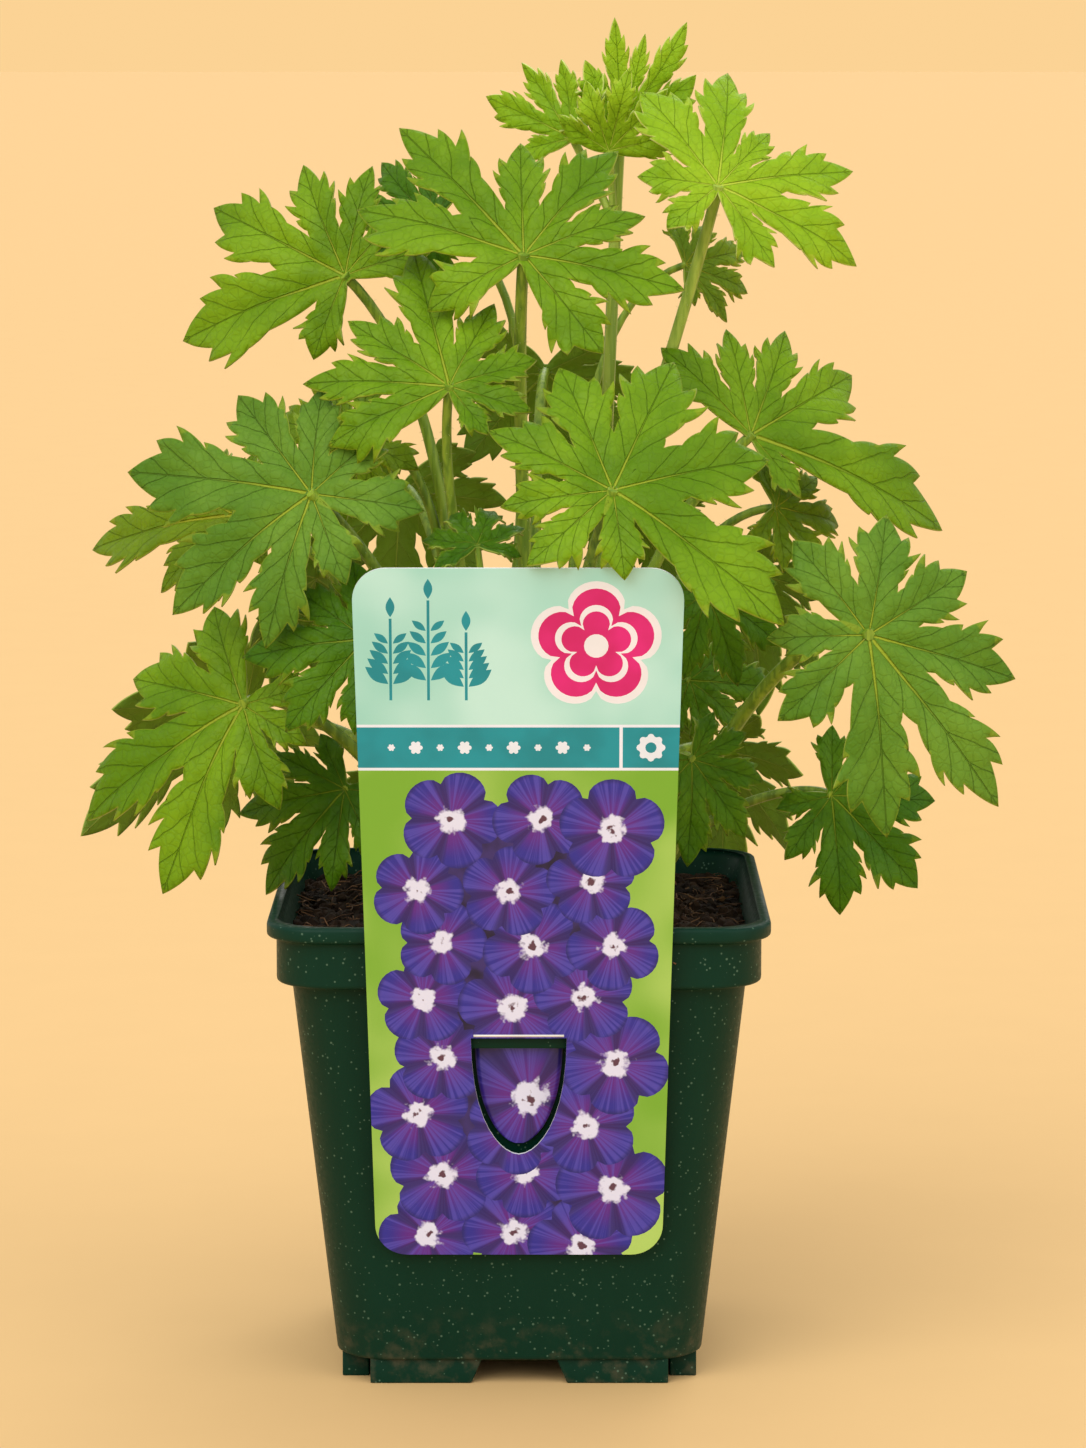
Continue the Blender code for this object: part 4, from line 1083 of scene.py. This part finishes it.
def blade_outline(lobes, rng):
    points = [polar(NOTCH * lobes[0][1], lobes[0][0] - NOTCH_TURN)]
    for i, (angle, length) in enumerate(lobes):
        spread = lobe_spread(lobes, i)
        ahead, left = polar(length, angle), polar(length, angle + 90)
        if i > 0:
            shorter = min(length, lobes[i - 1][1])
            sinus = polar(SINUS * shorter, (angle + lobes[i - 1][0]) / 2)
            points += curve_between(points[-1], sinus, 0.05)
        shaken = shaken_edge(rng) + [LOBE_EDGE[-1]]
        for far, wide, bulge in shaken:
            points += curve_between(points[-1], ahead * far - left * wide * spread[0], bulge)
        shaken = shaken_edge(rng)
        bulges = [spot[2] for spot in shaken[1:]] + [LOBE_EDGE[-1][2]]
        for (far, wide, _), bulge in zip(reversed(shaken), reversed(bulges)):
            points += curve_between(points[-1], ahead * far + left * wide * spread[1], bulge)
    last = polar(NOTCH * lobes[-1][1], lobes[-1][0] + NOTCH_TURN)
    points += curve_between(points[-1], last, 0.05)
    return points


sample = blade_outline(LEAVES["front"][-1], random.Random(1))
print("outline points of the front leaf:", len(sample))

# %% [markdown]
# The flat blade is filled with fine triangles, then lifted by a rule: lobes arch down
# toward their tips, the blade rises between midribs, puffs up between side veins, sinks
# along the midribs, and its margins wave. Each vertex also keeps what the finish needs: a
# map of where it lies in its lobe, and its distance from the margin.

# %% Lift and fill a blade
PLEAT, PLEAT_TURN = 0.16, 24.0
SWAY_LEAST, SWAY_SPREAD, SWAY_STEP, SWAY_REACH = 0.8, 0.4, 0.618, 0.13
BLADE_THICK = 0.45
VEIN_STEP, VEIN_LEAN = 0.185, 1.95
PUFF, GROOVE, GROOVE_WIDE = 0.60, 0.55, 1.0
MARGIN_FLAT, HUB_FLAT = 1.6, 8.0
WAVE, RIPPLES, TWIST = 1.25, 13.0, 0.24
TIP_CURL, TIP_POWER, SWELL = 0.22, 2.4, 0.6
BLADE_STEP = 1.25


def leaf_axes(facing, clock):
    """Directions of the middle lobe, of the leaf's left side and of its face."""
    turn, rise, spin = (math.radians(a) for a in (*facing, clock))
    face = Vector((math.sin(turn) * math.cos(rise), -math.cos(turn) * math.cos(rise), math.sin(rise)))
    down = Vector((math.sin(turn) * math.sin(rise), -math.cos(turn) * math.sin(rise), -math.cos(rise)))
    across = Vector((math.cos(turn), math.sin(turn), 0.0))
    ahead = down * math.cos(spin) + across * math.sin(spin)
    return ahead, face.cross(ahead), face


def lobe_places(flat, lobes):
    """For points of the flat blade: lobe number, and place along and beside its midrib."""
    angles = np.array([angle for angle, _ in lobes], float)
    angle = np.degrees(np.arctan2(flat[:, 1], flat[:, 0]))
    middle = (angles[0] + angles[-1]) / 2
    angle += 360 * np.round((middle - angle) / 360)
    nearest = np.abs(angle[:, None] - angles[None, :]).argmin(axis=1)
    return nearest, angle - angles[nearest]


def lift(flat, edge, lobes, droop, rng):
    """Heights and inward pull of the points of a blade, all in millimetres."""
    nearest, away = lobe_places(flat, lobes)
    lengths = np.array([length for _, length in lobes], float)
    radius = np.maximum(np.hypot(flat[:, 0], flat[:, 1]), 1e-6)
    near = np.minimum(np.abs(away), PLEAT_TURN)
    reach = lengths.max()
    sway = SWAY_LEAST + SWAY_SPREAD * ((nearest * SWAY_STEP + reach * SWAY_REACH) % 1.0)
    curl = droop * (sway + (1 - sway) * near / PLEAT_TURN) / reach
    out = np.sin(curl * radius) / curl / radius
    rise = -(1 - np.cos(curl * radius)) / curl + PLEAT * radius * np.sin(np.radians(near))
    along = radius * np.cos(np.radians(away)) / lengths[nearest]
    beside = radius * np.sin(np.radians(away))
    share = beside / lengths[nearest]
    inner = np.clip(edge / MARGIN_FLAT, 0, 1)
    vein = (along - np.abs(share) * VEIN_LEAN) / VEIN_STEP
    puff = np.abs(np.sin(math.pi * vein)) ** 0.8 * np.clip(np.abs(share) / 0.05, 0, 1)
    rise += PUFF * puff * inner * np.clip(radius / HUB_FLAT, 0, 1)
    rise -= GROOVE * np.exp(-(beside / GROOVE_WIDE) ** 2) * np.clip(1.1 - along, 0, 1)
    phases = np.array([rng.uniform(0, math.tau) for _ in lobes])[nearest]
    twists = np.array([rng.uniform(-TWIST, TWIST) for _ in lobes])[nearest]
    curls = np.array([rng.uniform(0.0, 1.0) for _ in lobes])[nearest]
    past = np.clip(along - SINUS, 0, 1)
    ripple = np.sin(along * RIPPLES + phases + 1.5 * np.sign(share))
    rise += WAVE * ripple * (share / 0.2) ** 2 * past * 2.2
    rise += twists * beside * past * 1.6
    rise -= curls * lengths[nearest] * TIP_CURL * past ** TIP_POWER
    low = math.tau / reach
    rise += SWELL * np.sin(flat[:, 0] * low * 1.1 + phases[0]) * np.sin(flat[:, 1] * low * 1.3 + 1.0)
    return out, rise


def edge_distance(flat, outline):
    ends = np.array([tuple(p) for p in outline])
    arm = np.roll(ends, -1, axis=0) - ends
    size = np.maximum((arm ** 2).sum(axis=1), 1e-9)
    gap = flat[:, None, :] - ends[None, :, :]
    share = np.clip((gap * arm[None]).sum(axis=2) / size, 0, 1)
    return np.sqrt(((gap - share[..., None] * arm[None]) ** 2).sum(axis=2)).min(axis=1)


def fill_points(outline, lobes, step, rng):
    """Shaken points inside the outline, not too near it, and a row along each midrib."""
    ends = np.array([tuple(p) for p in outline])
    xs, ys = np.meshgrid(np.arange(ends[:, 0].min(), ends[:, 0].max(), step),
                         np.arange(ends[:, 1].min(), ends[:, 1].max(), step * 0.87))
    xs = xs + (np.arange(len(ys)) % 2)[:, None] * step / 2
    flat = np.column_stack((xs.ravel(), ys.ravel()))
    shake = np.array([(rng.uniform(-0.2, 0.2), rng.uniform(-0.2, 0.2)) for _ in flat])
    flat = flat + shake * step
    _, away = lobe_places(flat, lobes)
    beside = np.hypot(flat[:, 0], flat[:, 1]) * np.abs(np.sin(np.radians(away)))
    good = within(outline, flat[:, 0], flat[:, 1]) & (beside > step * 0.45)
    flat = flat[good]
    flat = flat[edge_distance(flat, outline) > step * 0.5]
    rows = [(0.0, 0.0)]
    for angle, length in lobes:
        rows += [tuple(polar(r, angle)) for r in np.arange(step, length * 0.97, step)]
    return [Vector(p) for p in flat.tolist() + [list(p) for p in rows]]


def blade_bmesh(hub, facing, clock, droop, lobes, seed):
    """A fine blade as one sheet, with its lobe map and margin distance."""
    rng = random.Random(seed)
    outline = blade_outline(lobes, rng)
    points = outline + fill_points(outline, lobes, BLADE_STEP, rng)
    edges = [(i, (i + 1) % len(outline)) for i in range(len(outline))]
    spots, _, triangles, _, _, _ = delaunay_2d_cdt(points, edges, [], 1, 0.0001)
    flat = np.array([tuple(p) for p in spots])
    edge = edge_distance(flat, outline)
    out, rise = lift(flat, edge, lobes, droop, rng)
    ahead, left, face = (np.array(axis) for axis in leaf_axes(facing, clock))
    placed = (np.array(hub) + (flat[:, :1] * out[:, None]) * ahead
              + (flat[:, 1:] * out[:, None]) * left + rise[:, None] * face)
    lengths = np.array([length for _, length in lobes], float)
    angles = np.array([angle for angle, _ in lobes], float)
    bm = bmesh.new()
    lobe_map = bm.loops.layers.uv.new("lobe")
    margin = bm.verts.layers.float.new("margin")
    verts = [bm.verts.new(spot) for spot in placed]
    for vert, gap in zip(verts, edge):
        vert[margin] = gap
    corners = np.array([tuple(t) for t in triangles])
    owners, _ = lobe_places(flat[corners].mean(axis=1), lobes)
    for spot_row, owner in zip(corners, owners):
        made = bm.faces.new([verts[i] for i in spot_row])
        turn = math.radians(angles[owner])
        for loop, i in zip(made.loops, spot_row):
            x, y = flat[i]
            along = x * math.cos(turn) + y * math.sin(turn)
            beside = y * math.cos(turn) - x * math.sin(turn)
            loop[lobe_map].uv = (along / lengths[owner], beside / lengths[owner])
    return bm


print("blade builder ready")

# %% [markdown]
# The finish of a blade follows its lobe map. A group draws the midrib, the side veins
# that run forward into the teeth, and a fine net, and gives both masks and a height. The
# material then mixes the greens, adds a bright margin of painted backlight, and lets some
# light through, because a leaf against the light glows yellow-green.

# %% Shared pattern of a blade
vein_group, given, wanted = new_group("veins", {"Lobe": None, "Spot": None},
                                      ("Rib", "Side", "Net", "Height"))
tree = vein_group
parts = add(tree, "ShaderNodeSeparateXYZ", {0: given["Lobe"]})
along, beside = parts.outputs["X"], calc(tree, "ABSOLUTE", parts.outputs["Y"])
thin = fade(tree, along, 0.0, 0.8, 0.0125, 0.0045)
rib = calc(tree, "SUBTRACT", 1.0, fade(tree, beside, calc(tree, "MULTIPLY", thin, 0.35), thin))
leaning = calc(tree, "SUBTRACT", along, calc(tree, "MULTIPLY", beside, VEIN_LEAN))
bow = calc(tree, "MULTIPLY", calc(tree, "MULTIPLY", beside, beside), 2.2)
wander = calc(tree, "MULTIPLY", calc(tree, "SUBTRACT", noise(tree, given["Spot"], 95.0, 2.0), 0.5), 0.120)
phase = calc(tree, "DIVIDE", calc(tree, "ADD", calc(tree, "ADD", leaning, bow), wander), VEIN_STEP)
off = calc(tree, "ABSOLUTE", calc(tree, "SUBTRACT", calc(tree, "FRACT", phase), 0.5))
near = calc(tree, "SUBTRACT", 0.5, off)
side = calc(tree, "SUBTRACT", 1.0, fade(tree, near, 0.006, 0.034))
side = calc(tree, "MULTIPLY", side, fade(tree, beside, 0.24, 0.10))
side = calc(tree, "MULTIPLY", side, fade(tree, along, 0.06, 0.16))
cells = add(tree, "ShaderNodeTexVoronoi", {"Vector": given["Spot"], "Scale": 480.0},
            feature="DISTANCE_TO_EDGE")
net = calc(tree, "SUBTRACT", 1.0, fade(tree, cells.outputs["Distance"], 0.02, 0.12))
tree.links.new(rib, wanted["Rib"])
tree.links.new(side, wanted["Side"])
tree.links.new(net, wanted["Net"])
sunk = calc(tree, "MULTIPLY", calc(tree, "MAXIMUM", rib, calc(tree, "MULTIPLY", side, 0.75)), -1.0)
sunk = calc(tree, "SUBTRACT", sunk, calc(tree, "MULTIPLY", net, 0.16))
tree.links.new(sunk, wanted["Height"])
THROUGH = 0.28


def let_through(tree, shader, colour):
    """Let a share of the light through a blade, tinted by a colour."""
    through = add(tree, "ShaderNodeBsdfTranslucent", {"Color": (*colour, 1.0)})
    both = add(tree, "ShaderNodeMixShader", {0: THROUGH, 1: shader.outputs[0], 2: through.outputs[0]})
    tree.links.new(both.outputs[0], tree.nodes["Material Output"].inputs["Surface"])


def leaf_finish(name, deep, light, under, rib_and_painted_edge_light, rough):
    """Upper side of a blade, with its ribs, veins, net, and painted backlight along its margin."""
    made, tree, shader = new_material(name)
    spot = object_spot(tree)
    lobe = add(tree, "ShaderNodeUVMap", uv_map="lobe").outputs[0]
    veins = use_group(tree, vein_group, {"Lobe": lobe, "Spot": spot})
    cloud = noise(tree, spot, 38.0, 3.0)
    green = mix(tree, fade(tree, cloud, 0.32, 0.68), deep, light)
    parts = add(tree, "ShaderNodeSeparateXYZ", {0: lobe})
    tips = fade(tree, parts.outputs["X"], 0.45, 1.0, 0.0, 0.35)
    green = mix(tree, tips, green, deep)
    green = mix(tree, calc(tree, "MULTIPLY", veins["Net"], 0.16), green, [c * 0.6 for c in deep])
    dark = [c * 0.55 for c in deep]
    green = mix(tree, calc(tree, "MULTIPLY", veins["Side"], 0.23), green, dark)
    pale = fade(tree, parts.outputs["X"], 0.15, 0.55, 0.90, 0.05)
    green = mix(tree, calc(tree, "MULTIPLY", veins["Rib"], 0.45), green, dark)
    green = mix(tree, calc(tree, "MULTIPLY", veins["Rib"], pale), green, rib_and_painted_edge_light)
    # Near the margin the green is mixed toward the rib colour: painted backlight along the leaf's edge.
    margin = add(tree, "ShaderNodeAttribute", attribute_name="margin").outputs["Fac"]
    green = mix(tree, fade(tree, margin, 0.30, 0.02, 0.0, 0.40), green, rib_and_painted_edge_light)
    grain = use_group(tree, grain_group, {"Spot": spot, "Scale": 700.0})
    dull = fade(tree, grain["Height"], 0.3, 0.7, rough - 0.07, rough + 0.12)
    feed(tree, shader, {"Base Color": green, "Roughness": dull, "Specular IOR Level": 0.20})
    height = calc(tree, "ADD", veins["Height"], calc(tree, "MULTIPLY", grain["Height"], 0.25))
    bump(tree, height, 0.42, shader)
    let_through(tree, shader, under)
    return made


def under_finish(name, colour, rib_colour):
    """Lower side of a blade: paler and duller, with raised ribs."""
    made, tree, shader = new_material(name)
    spot = object_spot(tree)
    lobe = add(tree, "ShaderNodeUVMap", uv_map="lobe").outputs[0]
    veins = use_group(tree, vein_group, {"Lobe": lobe, "Spot": spot})
    green = mix(tree, fade(tree, noise(tree, spot, 60.0), 0.3, 0.7), [c * 0.85 for c in colour], colour)
    ribs = calc(tree, "MAXIMUM", veins["Rib"], calc(tree, "MULTIPLY", veins["Side"], 0.6))
    green = mix(tree, ribs, green, rib_colour)
    feed(tree, shader, {"Base Color": green, "Roughness": 0.62})
    bump(tree, calc(tree, "MULTIPLY", veins["Height"], -1.0), 0.35, shader)
    let_through(tree, shader, colour)
    return made


def margin_finish(name, colour):
    made, tree, shader = new_material(name)
    cloud = noise(tree, object_spot(tree), 300.0)
    tone = mix(tree, cloud, [c * 0.7 for c in colour], colour)
    feed(tree, shader, {"Base Color": tone, "Roughness": 0.5})
    return made


RIB_AND_PAINTED_EDGE_LIGHT = (0.42, 0.52, 0.035)
# per tone: deep and light green, light let through, pale ribs and painted edge light, roughness
TONES = {
    "mid": ((0.120, 0.270, 0.003), (0.240, 0.450, 0.009), (0.46, 0.66, 0.01), RIB_AND_PAINTED_EDGE_LIGHT, 0.46),
    "grey": ((0.100, 0.245, 0.016), (0.185, 0.370, 0.034), (0.40, 0.58, 0.02), RIB_AND_PAINTED_EDGE_LIGHT, 0.52),
    # dark: the same greens darkened, as painted shade
    "dark": ((0.050, 0.165, 0.002), (0.110, 0.270, 0.004), (0.34, 0.52, 0.006), (0.26, 0.38, 0.02), 0.46),
    "warm": ((0.130, 0.245, 0.004), (0.220, 0.360, 0.008), (0.46, 0.60, 0.01), (0.48, 0.52, 0.03), 0.46),
    "young": ((0.230, 0.440, 0.008), (0.370, 0.600, 0.018), (0.58, 0.80, 0.02), (0.62, 0.76, 0.08), 0.46),
}
finishes = {tone: leaf_finish("leaf_" + tone, *row) for tone, row in TONES.items()}
under_green = under_finish("leaf_under", (0.200, 0.340, 0.020), (0.36, 0.48, 0.05))
under_young = under_finish("leaf_under_young", (0.38, 0.60, 0.08), (0.55, 0.72, 0.18))
# The rim of each blade is pale yellow-green: painted backlight on the leaf's cut edge.
rim_painted_light = margin_finish("leaf_margin", (0.32, 0.44, 0.04))
rim_young_painted_light = margin_finish("leaf_margin_young", (0.62, 0.76, 0.18))
print("leaf finishes:", list(finishes))

# %% [markdown]
# Every row of the table becomes one blade. It is made as a single sheet, gets the finish
# of its tone, and is thickened with its paler under side and a bright rim of painted backlight.

# %% Make the blades
def tone_of(name):
    for tone, names in (("grey", GREYER), ("dark", SHADE_PAINTED_LEAVES), ("warm", WARMER), ("young", YOUNG)):
        if name in names:
            return tone
    return "mid"


def make_blade(piece_name, node, tone, parts, seed):
    young = tone == "young"
    materials = [finishes[tone], under_young if young else under_green,
                 rim_young_painted_light if young else rim_painted_light]
    blade = make_piece(piece_name, blade_bmesh(*parts, seed),
                       [node], materials)
    thicken(blade, BLADE_THICK, back=1, rim=2, offset=0.0)
    return blade


total = 0
for seed, (name, row) in enumerate(LEAVES.items()):
    parts = (row[0], row[1], row[2], row[3], row[7])
    total += count(make_blade("blade_" + name, "leaf_" + name, tone_of(name), parts, seed))
print("blades:", total, "triangles")

# %% [markdown]
# Each leaf hangs on a long stalk that stands upright in the soil and bends over to meet
# its blade from behind. The stalk's path is a cubic arc. A node tree sweeps a ribbed
# round along it, thinner toward the blade, which gives the fine grooves of a real stalk.

# %% Make the stalks
FOOT_DEPTH, STEM_RISE = 12.0, 1.5
STALK_RISE, STALK_REACH, STALK_BOW = 0.42, 0.26, 0.6
STALK_ALONG, STALK_BEHIND = 0.55, 0.6
STALK_FULL, STALK_THINS = 1.04, 0.28
STALK_STEPS = 26


def stem_finish(name, deep, light, flush):
    """A stalk: pale green with darker grooves, and a warm flush near the soil."""
    made, tree, shader = new_material(name)
    spot = object_spot(tree)
    stretched = add(tree, "ShaderNodeMapping", {"Vector": spot, "Scale": (700.0, 700.0, 30.0)})
    streak = noise(tree, stretched.outputs[0], 1.0, 2.0)
    green = mix(tree, fade(tree, streak, 0.35, 0.65), deep, light)
    height = add(tree, "ShaderNodeSeparateXYZ", {0: spot}).outputs["Z"]
    green = mix(tree, fade(tree, height, 0.135, 0.098, 0.0, 0.55), green, flush)
    feed(tree, shader, {"Base Color": green, "Roughness": 0.48})
    bump(tree, streak, 0.12, shader)
    return made


stalk_green = stem_finish("stalk_green", (0.120, 0.230, 0.010), (0.270, 0.410, 0.030),
                          (0.170, 0.130, 0.030))
stalk_young = stem_finish("stalk_young", (0.210, 0.340, 0.030), (0.360, 0.500, 0.070),
                          (0.170, 0.150, 0.030))

tree, given, wanted = new_tree("stalk", {"Ribs": 7, "Groove": 0.86})
as_curve = add(tree, "GeometryNodeMeshToCurve", {0: given["Geometry"]})
thick = add(tree, "GeometryNodeInputNamedAttribute", {"Name": "thick"}, data_type="FLOAT")
profile = add(tree, "GeometryNodeCurveStar", {"Points": given["Ribs"], "Outer Radius": 1.0,
                                              "Inner Radius": given["Groove"]})
swept = add(tree, "GeometryNodeCurveToMesh", {"Curve": as_curve.outputs[0], "Fill Caps": True,
            "Profile Curve": profile.outputs["Curve"], "Scale": thick.outputs[0]})
close_tree(tree, swept.outputs[0], stalk_green, wanted)
stalk_tree = tree


def stalk_path(foot, hub, facing, clock, lobes, bow):
    """Upright in its hole, then a smooth arc that meets the hub from behind its sinus."""
    ahead, left, face = leaf_axes(facing, clock)
    notch = polar(1, (lobes[0][0] + lobes[-1][0]) / 2 + 180)
    away = ((ahead * notch.x + left * notch.y) * STALK_ALONG - face * STALK_BEHIND).normalized()
    start, end = Vector((*foot, SOIL_TOP + STEM_RISE)), Vector(hub)
    span, lean = (end - start).length, Vector((*bow, 0.0))
    first = start + Vector((0, 0, span * STALK_RISE)) + lean
    second = end + away * span * STALK_REACH + lean * STALK_BOW
    points = [Vector((*foot, SOIL_TOP - FOOT_DEPTH))]
    for k in range(STALK_STEPS + 1):
        t = k / STALK_STEPS
        points.append(start * (1 - t) ** 3 + first * 3 * t * (1 - t) ** 2
                      + second * 3 * t * t * (1 - t) + end * t ** 3)
    return points


def path_mesh(points, radii):
    """A chain of edges in metres that carries its own thickness."""
    mesh = bpy.data.meshes.new("path")
    mesh.from_pydata([point * MM for point in points], [(i, i + 1) for i in range(len(points) - 1)], [])
    thick = mesh.attributes.new("thick", "FLOAT", "POINT")
    thick.data.foreach_set("value", [radius * MM for radius in radii])
    return mesh


def make_stalk(piece_name, node, points, radii, finish):
    made = grow(path_mesh(points, radii), stalk_tree)
    made.materials.clear()
    return make_piece(piece_name, made, [node], [finish])


stalks = []
for name, (hub, facing, clock, droop, radius, foot, bow, lobes) in LEAVES.items():
    points = stalk_path(foot, hub, facing, clock, lobes, bow)
    steps = len(points) - 1
    radii = [radius * (STALK_FULL - STALK_THINS * i / steps) for i in range(steps + 1)]
    young = name in YOUNG
    stalks.append(make_stalk("stalk_" + name, "leaf_" + name, points, radii,
                             stalk_young if young else stalk_green))
print("stalks:", len(stalks), "pieces,", sum(count(stalk) for stalk in stalks), "triangles")

# %% [markdown]
# The shoot is the plant's growing stem, with its youngest leaves still folded and pale at
# the top. It uses the same blade and stalk builders, with its own short table.

# %% Make the shoot
SHOOT_STEM = ((13, 12), (17, 14, 150), (20, 15, 215), (22, 18, 262), (23, 19, 276))
SHOOT_RADIUS = (1.9, 1.2)
SHOOT_LEAVES = {
    "left": ((12, 17, 273), (-30, 10), -150, -0.20, 1.0, (21, 16, 255), (
        (-54, 16), (-18, 18), (10, 22), (38, 24), (72, 14))),
    "middle": ((20, 13, 270), (-10, -20), 150, 0.20, 0.9, (21, 16, 258), (
        (-44, 18), (-14, 20), (14, 20), (46, 17), (84, 14))),
    "tip": ((23, 20, 275), (12, -12), 180, 0.20, 1.0, (22, 18, 268), (
        (-56, 21), (-32, 28), (-13, 22), (5, 25), (30, 18))),
}


def smooth_path(points, steps=6):
    """More points on a curve through the given ones."""
    made = []
    for i in range(len(points) - 1):
        before, here, after = points[max(i - 1, 0)], points[i], points[i + 1]
        beyond = points[min(i + 2, len(points) - 1)]
        for k in range(steps):
            t = k / steps
            made.append(0.5 * (2 * here + (after - before) * t
                               + (2 * before - 5 * here + 4 * after - beyond) * t * t
                               + (3 * here - before - 3 * after + beyond) * t ** 3))
    return made + [points[-1]]


base = SHOOT_STEM[0]
stem_points = smooth_path([Vector((*base, SOIL_TOP - FOOT_DEPTH)), Vector((*base, SOIL_TOP + STEM_RISE))]
                          + [Vector(point) for point in SHOOT_STEM[1:]])
thick, thin = SHOOT_RADIUS
stem_radii = [thick + (thin - thick) * i / (len(stem_points) - 1) for i in range(len(stem_points))]
stalks.append(make_stalk("shoot_stem", "shoot", stem_points, stem_radii, stalk_young))
for seed, (name, row) in enumerate(SHOOT_LEAVES.items()):
    hub, facing, clock, droop, radius, origin, lobes = row
    make_blade("shoot_blade_" + name, "shoot", "young", (hub, facing, clock, droop, lobes), 90 + seed)
    face = leaf_axes(facing, clock)[2]
    middle = (Vector(origin) + Vector(hub)) / 2 - face - Vector((0, 0, 0.8))
    route = smooth_path([Vector(origin), middle, Vector(hub)])
    stalks.append(make_stalk("shoot_stalk_" + name, "shoot", route, [radius] * len(route),
                             stalk_young))

# %% [markdown]
# Short soft hairs stand on the stalks. A thin cone is placed on points spread over the
# stalks' skin, along its normal with a random lean. They catch the light as a pale haze.

# %% Grow hairs on the stalks
HAIR_LONG, HAIR_WIDE = 0.85, 0.045


def joined(pieces):
    bm = bmesh.new()
    for piece in pieces:
        bm.from_mesh(piece.data)
    mesh = to_mesh(bm, "joined")
    mesh.materials.clear()
    return mesh


hair_pale = margin_finish("hair_pale", (0.55, 0.62, 0.30))
tree, given, wanted = new_tree("hairs", {"Density": 230000.0, "Long": HAIR_LONG, "Wide": HAIR_WIDE,
                                         "Seed": 4})
cone = add(tree, "GeometryNodeMeshCone", {"Vertices": 3, "Radius Top": 0.0,
           "Radius Bottom": calc(tree, "MULTIPLY", given["Wide"], MM),
           "Depth": calc(tree, "MULTIPLY", given["Long"], MM)})
placed = scatter(tree, given, cone.outputs["Mesh"], None, 0.5, 1.2, 12)
close_tree(tree, placed, hair_pale, wanted)
hairs = make_piece("stalk_hairs", grow(joined(stalks), tree), [],
                   [hair_pale])
print("hairs:", count(hairs), "triangles")
